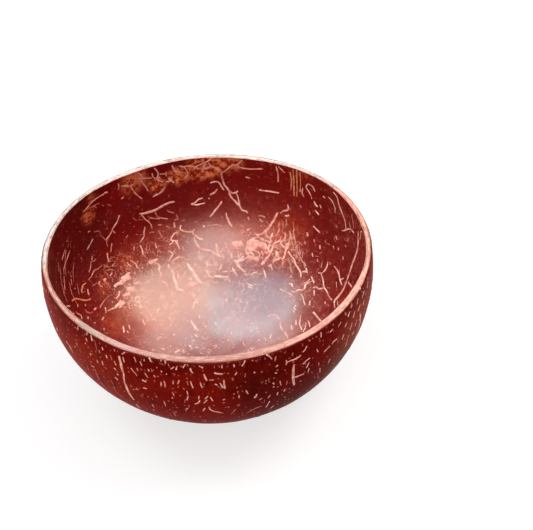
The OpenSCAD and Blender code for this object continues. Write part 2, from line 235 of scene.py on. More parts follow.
# %% [markdown]
# ## Laying a strand
# The strands are the husk's fibres, cut through by the sanding and sealed in. Each one
# is a thin round cord of which only a flat back shows. A curve with a round bevel makes
# such a cord from a few points, with a radius at each point so that its ends taper. The
# points come from the photograph: each pixel's line of sight is followed to the shell,
# and the cord is sunk there until only a sliver stands proud.

# %% A cord that lies in the wall
SEED = 7
noise.seed_set(SEED)  # without it, the noise's vectors differ from run to run
PROUD = 0.15
TRUE_WIDTH = 0.80  # of the width that was read, because a pale line looks wider than it is
LEAST_ARCH = 0.15  # the least height of a cord's back, as a share of its width
THICK_AND_THIN, WAVER, WAVER_MM = 900, 600, 0.15


def new_cords(name, finishes, sides=8):
    """An empty curve that many cords go into, each with a finish of its own."""
    curve = bpy.data.curves.new(name, "CURVE")
    curve.dimensions, curve.bevel_depth, curve.bevel_resolution = "3D", MM, sides // 2 - 2
    curve.use_fill_caps = True
    for finish in finishes:
        curve.materials.append(finish)
    return curve


def add_cord(curve, hits, width, finish=0, proud=PROUD):
    """Sinks a cord of that visible width in mm along (place, way out) pairs."""
    if len(hits) < 2:
        return
    cord = curve.splines.new("POLY")
    cord.points.add(len(hits) - 1)
    cord.material_index = finish
    width *= TRUE_WIDTH
    proud = max(proud, LEAST_ARCH * width)
    radius = (width ** 2 / 4 + proud ** 2) / (2 * proud)
    for i, (where, out) in enumerate(hits):
        taper = 0.4 + 0.6 * math.sin(math.pi * (i + 0.5) / len(hits)) ** 0.5
        taper *= 1 + 0.4 * noise.noise(where * THICK_AND_THIN)
        sway = noise.noise_vector(where * WAVER) * WAVER_MM * MM
        high = proud * (0.35 + 0.65 * taper)
        centre = where + sway - out * (sway.dot(out) + (radius * taper - high) * MM)
        centre.z = min(centre.z, (HEIGHT - radius * taper) * MM)
        cord.points[i].co = (*centre, 1)
        cord.points[i].radius = radius * taper


def finish_cords(curve, node):
    """Turns the cords into one mesh piece, which may stand for a node."""
    draft = bpy.data.objects.new(curve.name + "_draft", curve)
    bpy.context.scene.collection.objects.link(draft)
    mesh = bpy.data.meshes.new_from_object(draft)
    bpy.data.objects.remove(draft)
    cords = bmesh.new()
    cords.from_mesh(mesh)
    bmesh.ops.recalc_face_normals(cords, faces=cords.faces)
    for face in cords.faces:
        face.smooth = True
    cords.to_mesh(mesh)
    cords.free()
    piece = bpy.data.objects.new(curve.name, mesh)
    bpy.context.scene.collection.objects.link(piece)
    if node:
        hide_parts(node)
    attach(piece, "root")
    print(curve.name, "cords:", len(curve.splines), "faces:", len(mesh.polygons))


print("a cord stands", PROUD, "mm proud of the wall")

# %% [markdown]
# A cord's route is a few points joined by a smooth way. It is given in pixels where the
# photograph shows it, and by azimuth and share down the wall where it doesn't. A short
# fleck needs only a place, a heading and a length: it feels its way along the wall in
# small paces. Its chances come from one seeded source, so each run is the same.

# %% Routes, seen and unseen
SEEN_STEP_PX, HIDDEN_STEP_MM, HIDDEN_WIDTH = 1.9, 2.2, 1.1
SLIP = 0.005  # a jump this long means that the line of sight slipped past an edge


def smooth_way(points, step):
    """A Catmull-Rom way through the points, with a place about every step."""
    way = []
    for i in range(len(points) - 1):
        a, b = points[max(i - 1, 0)], points[i]
        c, d = points[i + 1], points[min(i + 2, len(points) - 1)]
        pieces = max(1, round((c - b).length / step))
        for k in range(pieces):
            t = k / pieces
            way.append(0.5 * (2 * b + (c - a) * t + (2 * a - 5 * b + 4 * c - d) * t * t
                              + (3 * b - a - 3 * c + d) * t * t * t))
    return way + [points[-1]]


def seen(route):
    """The places on the shell that a route of pixels shows."""
    runs = [[]]
    for point in smooth_way([Vector(p) for p in route], SEEN_STEP_PX):
        where, out, _, _ = surface.ray_cast(EYE, sight(*point))
        if where is None or (runs[-1] and (where - runs[-1][-1][0]).length > SLIP):
            runs.append([])
        if where is not None:
            runs[-1].append((where, out))
    return max(runs, key=len)


def unseen(side, route):
    """The same for a route of (azimuth, share) places that the photograph hides."""
    ways = smooth_way([place(side, share, az) for az, share in route], HIDDEN_STEP_MM * MM)
    return [surface.find_nearest(point)[:2] for point in ways]


def lay_rows(curve, rows, finish, slim=1.0):
    """Lays rows of a visible width in mm and the pixels that the strand passes."""
    for width, *route in rows:
        add_cord(curve, seen(route), width * slim, finish)


def lay_hidden(curve, side, routes, finish):
    for route in routes:
        add_cord(curve, unseen(side, route), HIDDEN_WIDTH, finish)


print("places on a way of 10 mm:", len(smooth_way([Vector((0, 0)), Vector((10, 0))], HIDDEN_STEP_MM)))

# %% Flecks
PACE_MM, LEAST_PACES = 1.3, 3
chance = random.Random(SEED)


def fleck(curve, side, share, az, heading, length, width, finish, bend=0.0, proud=PROUD):
    """A short cord from a place on the wall, in a heading from straight down, in mm."""
    where, out = surface.find_nearest(place(side, share, az))[:2]
    paces = max(LEAST_PACES, round(length / PACE_MM))
    hits = [(where, out)]
    for _ in range(paces):
        level_way = Vector((-math.sin(math.radians(az)), cosd(az), 0))
        down = level_way.cross(out).normalized()
        if down.z > 0:
            down = -down
        way = down * math.cos(heading) + level_way * math.sin(heading)
        where, out = surface.find_nearest(where + way * length * MM / paces)[:2]
        hits.append((where, out))
        heading += bend
    add_cord(curve, hits, width, finish, proud)


print("paces of a fleck of 6 mm:", max(LEAST_PACES, round(6 / PACE_MM)))

# %% [markdown]
# ## A short way to write shaders
# A finish is a tree of nodes. Wrapping a socket in a small class lets the sums be
# written as Python, such as `1 - mask * 0.5`, and each sum adds its own Math node.
# Colours go through Mix nodes, and one method makes every other kind of node. A few
# more methods name what the finishes below do over and over.

# %% Sums on sockets
class Value:
    """A number that varies over a surface. Sums on it add Math nodes."""

    def __init__(self, paint, socket):
        self.paint, self.socket = paint, socket

    def summed(self, operation, a, b):
        return self.paint.value("Math", {"operation": operation}, {0: a, 1: b})

    def __add__(self, other):
        return self.summed("ADD", self, other)

    def __radd__(self, other):
        return self.summed("ADD", other, self)

    def __sub__(self, other):
        return self.summed("SUBTRACT", self, other)

    def __rsub__(self, other):
        return self.summed("SUBTRACT", other, self)

    def __mul__(self, other):
        return self.summed("MULTIPLY", self, other)

    def __rmul__(self, other):
        return self.summed("MULTIPLY", other, self)


def feed(tree, socket, value):
    """Gives a socket its link or its constant."""
    value = value.socket if isinstance(value, Value) else value
    if isinstance(value, bpy.types.NodeSocket):
        tree.links.new(value, socket)
    else:
        socket.default_value = value


print("sums:", [name for name in vars(Value) if name.startswith("__r")])

# %% A material and its nodes
class Paint:
    """A material, or a world, and the nodes that it is made of."""

    def __init__(self, owner):
        owner.use_nodes = True
        self.owner, self.tree = owner, owner.node_tree
        self.tree.nodes.clear()

    def node(self, kind, settings=(), sockets=()):
        made = self.tree.nodes.new("ShaderNode" + kind)
        for name, setting in dict(settings).items():
            setattr(made, name, setting)
        for name, value in dict(sockets).items():
            feed(self.tree, made.inputs[name], value)
        return made

    def value(self, kind, settings=(), sockets=(), out=0):
        return Value(self, self.node(kind, settings, sockets).outputs[out])

    def vector(self, operation, *parts):
        made = self.node("VectorMath", {"operation": operation}, dict(enumerate(parts)))
        return made.outputs[0]

    def mix(self, share, a, b):
        """One colour or another, by a share from 0 to 1."""
        made = self.node("Mix", {"data_type": "RGBA"})
        feed(self.tree, made.inputs[0], share)
        for at, colour in ((6, a), (7, b)):  # the Mix node's two colour sockets
            feed(self.tree, made.inputs[at],
                 (*colour, 1) if isinstance(colour, tuple) else colour)
        return made.outputs[2]

    def along(self, where, axis):
        return self.value("SeparateXYZ", {}, {0: where}, axis)

    def noise(self, where, scale, detail=2.0, roughness=0.5):
        return self.value("TexNoise", {}, {"Vector": where, "Scale": scale,
                                           "Detail": detail, "Roughness": roughness})

    def winding(self, where, scale):
        """How far a noise is from its middle: near 0 along winding lines."""
        return self.value("Math", {"operation": "ABSOLUTE"},
                          {0: self.noise(where, scale, 1.5, 0.5) - 0.5})

    def step(self, value, low, high):
        """0 at low and 1 at high, with an eased change between them."""
        return self.value("MapRange", {"interpolation_type": "SMOOTHSTEP"},
                          {"Value": value, "From Min": low, "From Max": high})

    def stain(self, colour, shade, share, value, low, high):
        """The colour, turned to a shade by up to a share as a value goes from low to high."""
        return self.mix(self.step(value, low, high) * share, colour, shade)

    def near(self, where, centre, reach):
        """1 at a place and 0 past its reach, both in metres."""
        gap = self.value("VectorMath", {"operation": "DISTANCE"},
                         {0: where, 1: tuple(centre)}, "Value")
        return 1 - self.step(gap, reach * 0.25, reach)

    def bump(self, strength, depth, height):
        return self.node("Bump", {}, {"Strength": strength, "Distance": depth,
                                      "Height": height}).outputs[0]

    def finish(self, **sockets):
        """The Principled shader that ends the tree."""
        names = {name.replace("_", " ").replace("Ior", "IOR"): value
                 for name, value in sockets.items()}
        body = self.node("BsdfPrincipled", {}, names)
        end = self.node("OutputMaterial")
        self.tree.links.new(body.outputs[0], end.inputs[0])
        return self.owner


def srgb(r, g, b):
    """A colour given as on a screen, 0 to 255, as the light it stands for."""
    return tuple((c / 255 / 12.92) if c < 10.3 else ((c / 255 + 0.055) / 1.055) ** 2.4
                 for c in (r, g, b))


def new_paint(name):
    """A new material's paint, and the place in metres that its patterns read."""
    paint = Paint(bpy.data.materials.new(name))
    return paint, paint.node("TexCoord").outputs["Object"]


print("a screen's mid grey is this much light:", round(srgb(128, 128, 128)[0], 3))

# %% [markdown]
# ## The oiled cavity
# Oil turns the hard inner shell a deep oxblood red, browner to the right. A painted shade
# darkens it high on the two flanks. Two sizes of noise blend these colours. Under the rear
# rim the inner skin was thin and left crumbled tan blotches, each a soft spot at its own
# place. The finest threads are too many to lay one by one, so they are drawn where a
# noise crosses its middle, which gives thin winding lines. A fine bump and an uneven
# roughness break up the broad, satin shine.

# %% The cavity's red
OXBLOOD, WARM_RED, CLOUD_RED = srgb(110, 0, 0), srgb(126, 12, 5), srgb(132, 12, 5)
MOTTLE_TAN, MOTTLE_DARK, FLANK_SHADE = srgb(160, 52, 28), srgb(80, 0, 0), srgb(82, 0, 0)
paint, where = new_paint("oiled_cavity")
x_here, z_here = paint.along(where, "X"), paint.along(where, "Z")
cloud = paint.noise(where, 38, 3)
mottle = paint.noise(where, 170, 4, 0.6)
browner = paint.step(x_here + (cloud - 0.5) * 0.05, -0.012, 0.05)
colour = paint.mix(browner, OXBLOOD, WARM_RED)
colour = paint.stain(colour, CLOUD_RED, 0.5, cloud, 0.56, 0.72)
colour = paint.stain(colour, MOTTLE_TAN, browner * 0.25, mottle, 0.58, 0.75)
colour = paint.stain(colour, MOTTLE_DARK, 0.5, mottle, 0.42, 0.25)
# painted shade: the upper walls at the far left and right are made darker, less on the browner right
painted_flank_shade = paint.step(x_here * x_here, 0.0014, 0.0028) * paint.step(z_here, 0.026, 0.042)
colour = paint.mix(painted_flank_shade * (0.8 - browner * 0.5), colour, FLANK_SHADE)
print("oxblood:", [round(c, 3) for c in OXBLOOD])

# %% Blotches of tan
BLOTCH_TAN, CRUMB_CREAM = srgb(164, 44, 2), srgb(238, 146, 96)
BLOTCHES = [((88, 216), 0.006, 0.5), ((91, 199), 0.004, 0.3), ((134, 181), 0.009, 0.5),
            ((157, 185), 0.006, 0.8), ((178, 176), 0.007, 0.8), ((198, 172), 0.007, 0.7),
            ((210, 171), 0.006, 0.8), ((200, 164), 0.008, 0.8), ((218, 164), 0.008, 0.8),
            ((106, 280), 0.006, 0.08), ((113, 326), 0.008, 0.10), ((103, 290), 0.005, 0.05),
            ((126, 262), 0.006, 0.15), ((303, 172), 0.009, 0.2), ((297, 230), 0.010, 0.1),
            ((284, 240), 0.012, 0.1), ((288, 222), 0.010, 0.1), ((290, 262), 0.011, 0.1),
            ((300, 284), 0.011, 0.05), ((276, 232), 0.010, 0.1), ((232, 163), 0.007, 0.6)]
HIDDEN_BLOTCHES = [((236, 0.07), 0.011, 0.22), ((251, 0.04), 0.011, 0.22),
                   ((309, 0.06), 0.011, 0.22)]


def on_wall(pixel):
    """The place on the shell that a pixel shows."""
    return surface.ray_cast(EYE, sight(*pixel))[0]


def spots(shown, hidden):
    """(place, reach, strength) of spots that are set by pixel, or by azimuth and share."""
    return ([(on_wall(pixel), reach, strength) for pixel, reach, strength in shown]
            + [(place("cavity", share, az), reach, strength)
               for (az, share), reach, strength in hidden])


crumbs = paint.noise(where, 380, 4, 0.7)
patchy = paint.step(crumbs, 0.36, 0.50) * 0.7 + 0.3
ragged = paint.step(crumbs + cloud * 0.4, 0.65, 0.79)
for centre, reach, strength in spots(BLOTCHES, HIDDEN_BLOTCHES):
    blotch = paint.near(where, centre, reach)
    colour = paint.mix(blotch * patchy * (0.28 + strength * 0.42), colour, BLOTCH_TAN)
    colour = paint.mix(blotch * ragged * strength, colour, CRUMB_CREAM)
print("blotches:", len(BLOTCHES + HIDDEN_BLOTCHES))

# %% Fine threads, and the cavity's finish
THREAD_PINK, VEIL_PINK = srgb(206, 120, 104), srgb(206, 122, 102)
NET_PINK, PIT_DARK = srgb(240, 168, 146), srgb(60, 0, 0)
NETS = [((120, 277), 0.014, 0.8), ((147, 262), 0.013, 0.6), ((177, 250), 0.014, 0.6),
        ((258, 246), 0.015, 0.9), ((288, 250), 0.013, 0.8), ((130, 300), 0.012, 0.6),
        ((226, 262), 0.014, 0.7), ((196, 272), 0.014, 0.6), ((250, 285), 0.016, 0.6),
        ((230, 310), 0.014, 0.5), ((160, 310), 0.014, 0.4), ((300, 290), 0.012, 0.5)]
HIDDEN_NETS = [((az, share), 0.016, 0.6) for az, share in
               ((222, 0.44), (246, 0.36), (272, 0.42), (298, 0.36), (324, 0.46))]
threads = paint.step(paint.winding(where, 330), 0.022, 0.006)
threads = threads * paint.step(paint.noise(where, 420, 1), 0.52, 0.60)
colour = paint.mix(threads * (browner * 0.24 + 0.18), colour, THREAD_PINK)
low = paint.step(z_here, 0.042, 0.014)
veil = paint.noise(where, 480, 4, 0.7)
colour = paint.stain(colour, VEIL_PINK, low * 0.40 + browner * 0.12, veil, 0.54, 0.72)
net = paint.step(paint.winding(where, 410), 0.036, 0.012) * paint.step(crumbs, 0.44, 0.52)
for centre, reach, strength in spots(NETS, HIDDEN_NETS):
    colour = paint.mix(paint.near(where, centre, reach) * net * strength, colour, NET_PINK)
pits = paint.noise(where, 900, 3, 0.6)
colour = paint.stain(colour, PIT_DARK, 0.35, pits, 0.48, 0.30)
smooth_wall = paint.step(z_here - x_here * 0.22, 0.034, 0.052)
cavity_finish = paint.finish(
    Base_Color=colour, Roughness=0.28 + (mottle - 0.5) * 0.12 - smooth_wall * 0.09,
    Normal=paint.bump(0.35, 0.0004, mottle * 0.6 + pits * 0.4 + cloud * 0.8),
    Specular_IOR_Level=0.15)
print("nets of thread:", len(NETS + HIDDEN_NETS))

# %% [markdown]
# ## The sawn rim
# The rim shows the shell's bare cut: pale, pinkish, and drawn out into fine lines that
# run round with it. Noise read on a point's direction from the axis, with its radius
# stretched, gives lines that follow the rim all the way round without a seam.

# %% The rim's finish
RIM_LEFT, RIM_RIGHT, RIM_FAR_RIGHT = srgb(192, 127, 112), srgb(180, 99, 86), srgb(250, 164, 144)
RIM_REAR, LINE_PALE, LINE_DARK = srgb(240, 222, 212), srgb(248, 204, 190), srgb(178, 104, 92)
GRIT_DARK, GRIT_PALE = srgb(176, 106, 94), srgb(252, 214, 202)
RIM_PATCHES = (((84, 326), 0.005, (150, 140, 128)), ((96, 333), 0.005, (160, 150, 138)),
               ((122, 345), 0.008, (214, 160, 160)))
paint, where = new_paint("sawn_rim")
x_here, y_here = paint.along(where, "X"), paint.along(where, "Y")
flat = paint.vector("MULTIPLY", where, (1, 1, 0))
heading = paint.vector("NORMALIZE", flat)
radius = paint.value("VectorMath", {"operation": "LENGTH"}, {0: flat}, "Value")
stretched = paint.node("CombineXYZ", {}, {"Z": radius * 1500}).outputs[0]
lines_at = paint.vector("MULTIPLY_ADD", heading, (16, 16, 0), stretched)
lines = paint.noise(lines_at, 1.0, 3, 0.6)
cloud = paint.noise(where, 60, 3)
grit = paint.noise(where, 2000, 2, 0.6)
tint = paint.step(x_here + (cloud - 0.5) * 0.03, -0.045, 0.035)
colour = paint.mix(tint, RIM_LEFT, RIM_RIGHT)
colour = paint.mix(paint.step(x_here, 0.008, 0.036), colour, RIM_FAR_RIGHT)
colour = paint.mix(paint.step(y_here - x_here * 0.35, 0.008, 0.03), colour, RIM_REAR)
colour = paint.stain(colour, LINE_PALE, 0.5, lines, 0.50, 0.64)
colour = paint.stain(colour, LINE_DARK, 0.80, lines, 0.50, 0.38)
colour = paint.stain(colour, GRIT_DARK, 0.60, grit, 0.48, 0.34)
colour = paint.stain(colour, GRIT_PALE, 0.40, grit, 0.54, 0.68)
for pixel, reach, shade in RIM_PATCHES:
    patch = paint.near(where, on_wall(pixel), reach) * paint.step(lines, 0.60, 0.42)
    colour = paint.mix(patch * 0.7, colour, srgb(*shade))
rim_finish = paint.finish(Base_Color=colour, Roughness=0.55 + (lines - 0.5) * 0.2,
                          Normal=paint.bump(0.3, 0.0003, lines), Specular_IOR_Level=0.04)
print("patches on the rim:", len(RIM_PATCHES))

# %% [markdown]
# ## The sanded outside and the base
# Sanding took off the husk and left a red-brown face, blotched where the fibres were
# thick, with an upright grain and a dust of pale specks. Broad patches of painted light
# and shade lie over it, lighter at the left and darker at the right front, with a painted
# olive sheen at the right, and a painted shade darkens it close under the rim. The flat
# base, sanded last, shows paler wood with a fine scratch pattern, and it has less oil.

# %% The outside's finish
SKIN_RED, SKIN_BROWN, SHADE_UNDER_RIM = srgb(114, 4, 1), srgb(131, 20, 8), srgb(84, 4, 0)
HOLLOW_DARK, CREST_TAN, GRAIN_TAN = srgb(72, 2, 0), srgb(150, 52, 30), srgb(150, 58, 34)
DUST_DARK, DUST_TAN, SPECK_PINK = srgb(56, 0, 0), srgb(168, 56, 36), srgb(206, 112, 88)
# painted light and shade: a dark patch at the right front, a lighter one at the left, a painted olive
# sheen at the right
OUTSIDE_LIGHT_AND_SHADE = (((290, 0.22), 0.036, (62, 2, 0)), ((216, 0.22), 0.034, (140, 34, 16)),
                   ((322, 0.26), 0.020, (100, 54, 40)), ((326, 0.12), 0.022, (138, 50, 30)),
                   ((262, 0.30), 0.030, (130, 16, 4)))
paint, where = new_paint("sanded_outside")
cloud = paint.noise(where, 30, 3)
mottle = paint.noise(where, 190, 4, 0.65)
grit = paint.noise(where, 1000, 3, 0.65)
heading = paint.vector("NORMALIZE", paint.vector("MULTIPLY", where, (1, 1, 0)))
climb = paint.vector("MULTIPLY", where, (0, 0, 70))
grain = paint.noise(paint.vector("MULTIPLY_ADD", heading, (60, 60, 0), climb), 1.0, 4, 0.6)
colour = paint.mix(paint.step(cloud, 0.35, 0.65), SKIN_RED, SKIN_BROWN)
for (az, share), reach, shade in OUTSIDE_LIGHT_AND_SHADE:
    painted_light_patch = paint.near(where, place("outside", share, az), reach)
    colour = paint.stain(colour, srgb(*shade), painted_light_patch, cloud, 0.2, 0.7)
colour = paint.stain(colour, HOLLOW_DARK, 0.75, mottle, 0.48, 0.30)
colour = paint.stain(colour, CREST_TAN, 0.3, mottle, 0.60, 0.78)
colour = paint.stain(colour, GRAIN_TAN, 0.25, grain, 0.58, 0.75)
colour = paint.stain(colour, DUST_DARK, 0.55, grit, 0.49, 0.32)
colour = paint.stain(colour, DUST_TAN, 0.30, grit, 0.56, 0.74)
dots = paint.node("TexVoronoi", {}, {"Vector": where, "Scale": 640}).outputs
picked = paint.value("SeparateColor", {}, {0: dots["Color"]})
specks = paint.step(Value(paint, dots["Distance"]), 0.34, 0.16) * paint.step(picked, 0.70, 0.80)
colour = paint.mix(specks * 0.8, colour, SPECK_PINK)
# painted shade: the outside is darkened in a band close under the rim
colour = paint.stain(colour, SHADE_UNDER_RIM, 0.55, paint.along(where, "Z"), 0.056, 0.064)
outside_finish = paint.finish(
    Base_Color=colour, Roughness=0.46 + (mottle - 0.5) * 0.2,
    Normal=paint.bump(0.4, 0.0004, mottle * 0.7 + grain * 0.5 + grit * 0.4),
    Specular_IOR_Level=0.01)
print("patches on the outside:", len(OUTSIDE_LIGHT_AND_SHADE))

# %% The base's finish, and the shell's four together
WOOD_BROWN, WOOD_TAN, SCRATCH_PALE = srgb(120, 60, 40), srgb(168, 108, 78), srgb(188, 134, 104)
paint, where = new_paint("sanded_base")
rings = paint.value("TexWave", {"wave_type": "RINGS", "rings_direction": "Z"},
                    {"Vector": where, "Scale": 260, "Distortion": 6, "Detail": 3}, "Fac")
colour = paint.mix(paint.noise(where, 90, 4), WOOD_BROWN, WOOD_TAN)
colour = paint.mix(rings * 0.25, colour, SCRATCH_PALE)
base_finish = paint.finish(Base_Color=colour, Roughness=0.6 + rings * 0.1,
                           Specular_IOR_Level=0.10)

for finish in (cavity_finish, rim_finish, outside_finish, base_finish):
    shell_mesh.materials.append(finish)
print("shell finishes:", [finish.name for finish in shell_mesh.materials])

# %% [markdown]
# ## The fibres' finishes
# The fibres are cream and pink. Where they lie deeper under the oil they look dusky, and
# a few are tan. High on the cavity's walls a painted shade dims and reddens them all,
# most at the left and least on the right.
# The outside's fibres are redder, because the husk's own brown has soaked into them.
# Noise varies each one along its length.

# %% The finishes of the fibres
PAINTED_SHADE_TINT = srgb(158, 40, 6)


def fibre_finish(name, low, high, shade_share):
    """A fibre's finish, from two colours and the most that a painted shade may darken them."""
    paint, where = new_paint(name)
    along = paint.noise(where, 420, 3, 0.65)
    fuzz = paint.noise(where, 1500, 2)
    colour = paint.mix(paint.step(along, 0.35, 0.65), srgb(*low), srgb(*high))
    if shade_share:
        # painted shade: high on the cavity's walls, most at the left, the fibres are dimmed towards a
        # dull red
        high_left = paint.along(where, "Z") - paint.along(where, "X") * 0.5
        colour = paint.stain(colour, PAINTED_SHADE_TINT, shade_share, high_left, 0.032, 0.054)
    return paint.finish(Base_Color=colour, Roughness=0.34 + fuzz * 0.12,
                        Normal=paint.bump(0.3, 0.0002, fuzz), Specular_IOR_Level=0.14)


PALE, DUSKY, TAN, OILED = 0, 1, 2, 3
FIBRES = [fibre_finish("pale_fibre", (204, 138, 120), (252, 208, 192), 0.38),
          fibre_finish("dusky_fibre", (148, 74, 60), (210, 142, 124), 0.5),
          fibre_finish("tan_fibre", (176, 104, 62), (222, 160, 118), 0.1),
          fibre_finish("oiled_fibre", (146, 68, 56), (206, 132, 114), 0.6)]
HUSK_FIBRES = [fibre_finish("pale_husk_fibre", (212, 124, 108), (254, 194, 178), 0),
               fibre_finish("dusky_husk_fibre", (144, 50, 40), (204, 108, 92), 0)]
print("fibre finishes:", len(FIBRES + HUSK_FIBRES))

# %% [markdown]
# ## The strands of the cavity
# Each strand below is a row: its visible width in mm, then the pixels that it passes.
# They were read from enlarged tiles of the photograph. Reading them one by one
# takes patience, but a random scatter never gives the forks and hooks of real fibres.

# %% Strands on the left wall and behind
LEFT_PALE = [
    (1.0, (83, 212), (87, 208), (91, 203), (97, 198), (104, 194)), (0.8, (104, 193), (107, 192)),
    (0.8, (118, 183), (119, 186), (118, 190)), (0.8, (121, 186), (125, 186), (130, 186), (134, 184)),
    (0.8, (130, 186), (133, 190), (135, 193), (138, 196), (142, 199)), (0.9, (121, 199), (124, 197)),
    (1.1, (138, 173), (141, 175), (143, 178), (152, 178)), (1.2, (138, 178), (142, 179)),
    (0.8, (141, 179), (143, 184), (146, 187), (148, 191)),
    (1.6, (139, 214), (147, 213), (156, 210), (163, 206), (169, 203), (175, 202)),
    (0.8, (141, 214), (145, 219), (150, 223), (152, 229)),
    (0.9, (119, 215), (118, 220), (115, 225), (112, 230)), (0.8, (112, 230), (115, 233)),
    (0.8, (112, 231), (109, 236), (106, 240)), (0.9, (107, 253), (108, 258), (109, 262)),
    (0.8, (145, 227), (144, 232), (144, 237), (140, 242)), (1.0, (140, 245), (142, 249), (143, 255)),
    (1.0, (105, 193), (108, 192)), (0.9, (88, 289), (88, 292), (89, 295)),
    (1.2, (100, 281), (99, 284), (101, 286), (103, 287)), (1.1, (103, 280), (106, 278)),
    (1.0, (110, 276), (112, 273)), (0.9, (76, 312), (78, 314), (81, 315), (82, 319)),
    (0.9, (105, 307), (106, 310), (106, 313)), (1.1, (104, 317), (102, 320)),
    (1.1, (121, 300), (119, 303), (117, 305), (115, 308)), (1.1, (125, 302), (122, 305), (119, 308)),
    (1.0, (108, 311), (112, 309), (115, 308)), (1.0, (123, 326), (124, 330), (124, 333)),
    (0.9, (129, 325), (130, 329)), (0.9, (143, 318), (143, 321), (145, 325)),
    (1.0, (130, 260), (133, 262), (136, 264), (137, 268)),
    (1.0, (155, 263), (158, 264), (160, 266), (159, 269), (160, 272), (161, 276)),
    (0.9, (127, 262), (129, 265), (132, 266)), (1.6, (127, 287), (127.5, 289)),
    (1.0, (67, 306), (70, 306)), (0.9, (73, 313), (74, 314)), (0.9, (88, 317), (88, 319)),
    (0.9, (142, 267), (143, 269)), (0.9, (94, 310), (96, 308)), (0.9, (104, 328), (104, 330)),
    (0.9, (157, 340), (159, 337), (162, 337)), (0.8, (127, 331), (129, 333)),
    (0.9, (120, 291), (119, 295), (116, 299)), (0.9, (126, 288), (129, 288))]
LEFT_DUSKY = [
    (0.8, (90, 208), (95, 205), (99, 203)), (0.6, (94, 206), (97, 208)), (0.6, (107, 204), (111, 206)),
    (0.6, (102, 205), (104, 206)),
    (0.7, (94, 232), (99, 231), (101, 236), (106, 240), (107, 244), (108, 247)),
    (0.7, (93, 239), (91, 243), (87, 250)), (0.6, (104, 221), (105, 224)), (0.6, (107, 228), (107, 229)),
    (0.7, (112, 243), (111, 252)), (0.7, (126, 238), (128, 235)), (0.8, (121, 243), (121, 244)),
    (0.8, (137, 234), (137, 235)), (0.7, (134, 226), (134, 227)), (0.7, (142, 209), (142, 210)),
    (0.7, (138, 206), (138, 207)), (0.7, (67, 240), (67, 241)), (0.7, (67, 231), (67, 232)),
    (0.7, (58, 253), (58, 254)), (0.7, (133, 218), (137, 221)), (0.7, (134, 246), (134, 251)),
    (0.6, (65, 250), (62, 260)), (0.7, (70, 250), (68, 256), (66, 262), (64, 268), (64, 274)),
    (0.6, (64, 276), (65, 290)), (0.6, (71, 279), (72, 285)), (0.6, (71, 290), (72, 294)),
    (0.6, (63, 291), (65, 293)), (0.7, (71, 276), (71, 277)), (0.6, (81, 257), (82, 260)),
    (0.6, (75, 288), (75, 289)), (0.8, (96, 259), (94, 261), (91, 262), (91, 266), (90, 270), (89, 272)),
    (0.8, (102, 266), (100, 267), (98, 269), (95, 270), (93, 273), (92, 276), (90, 278), (88, 280)),
    (0.7, (115, 263), (113, 265), (112, 267)), (0.7, (97, 283), (94, 285), (92, 286)),
    (0.8, (103, 291), (104, 294)), (0.7, (110, 295), (107, 298), (104, 301), (102, 304), (100, 308)),
    (0.7, (78, 304), (78, 307)), (0.8, (85, 310), (87, 312), (90, 313), (93, 312)),
    (0.7, (95, 322), (95, 324)), (0.8, (112, 324), (112, 325)), (0.7, (112, 301), (113, 303)),
    (0.7, (127, 338), (130, 341)), (0.7, (139, 340), (140, 345)), (0.7, (144, 342), (145, 343))]
LEFT_OILED = [
    (0.3, (60, 268), (61, 280), (64, 292)), (0.3, (66, 250), (65, 262), (66, 276)),
    (0.3, (69, 282), (72, 294), (77, 304)), (0.3, (58, 262), (59, 272)), (0.3, (77, 284), (79, 294)),
    (0.3, (74, 262), (73, 272), (74, 282)), (0.3, (61, 282), (64, 294), (68, 302))]
LEFT_TAN = [
    (0.7, (88, 232), (90, 231)), (0.9, (92, 256), (92, 260)),
    (0.5, (86, 283), (83, 285), (82, 288), (82, 293)), (0.7, (85, 304), (86, 306)),
    (1.1, (72, 301), (75, 298.5), (79, 299), (83, 300), (87, 300), (91, 299))]
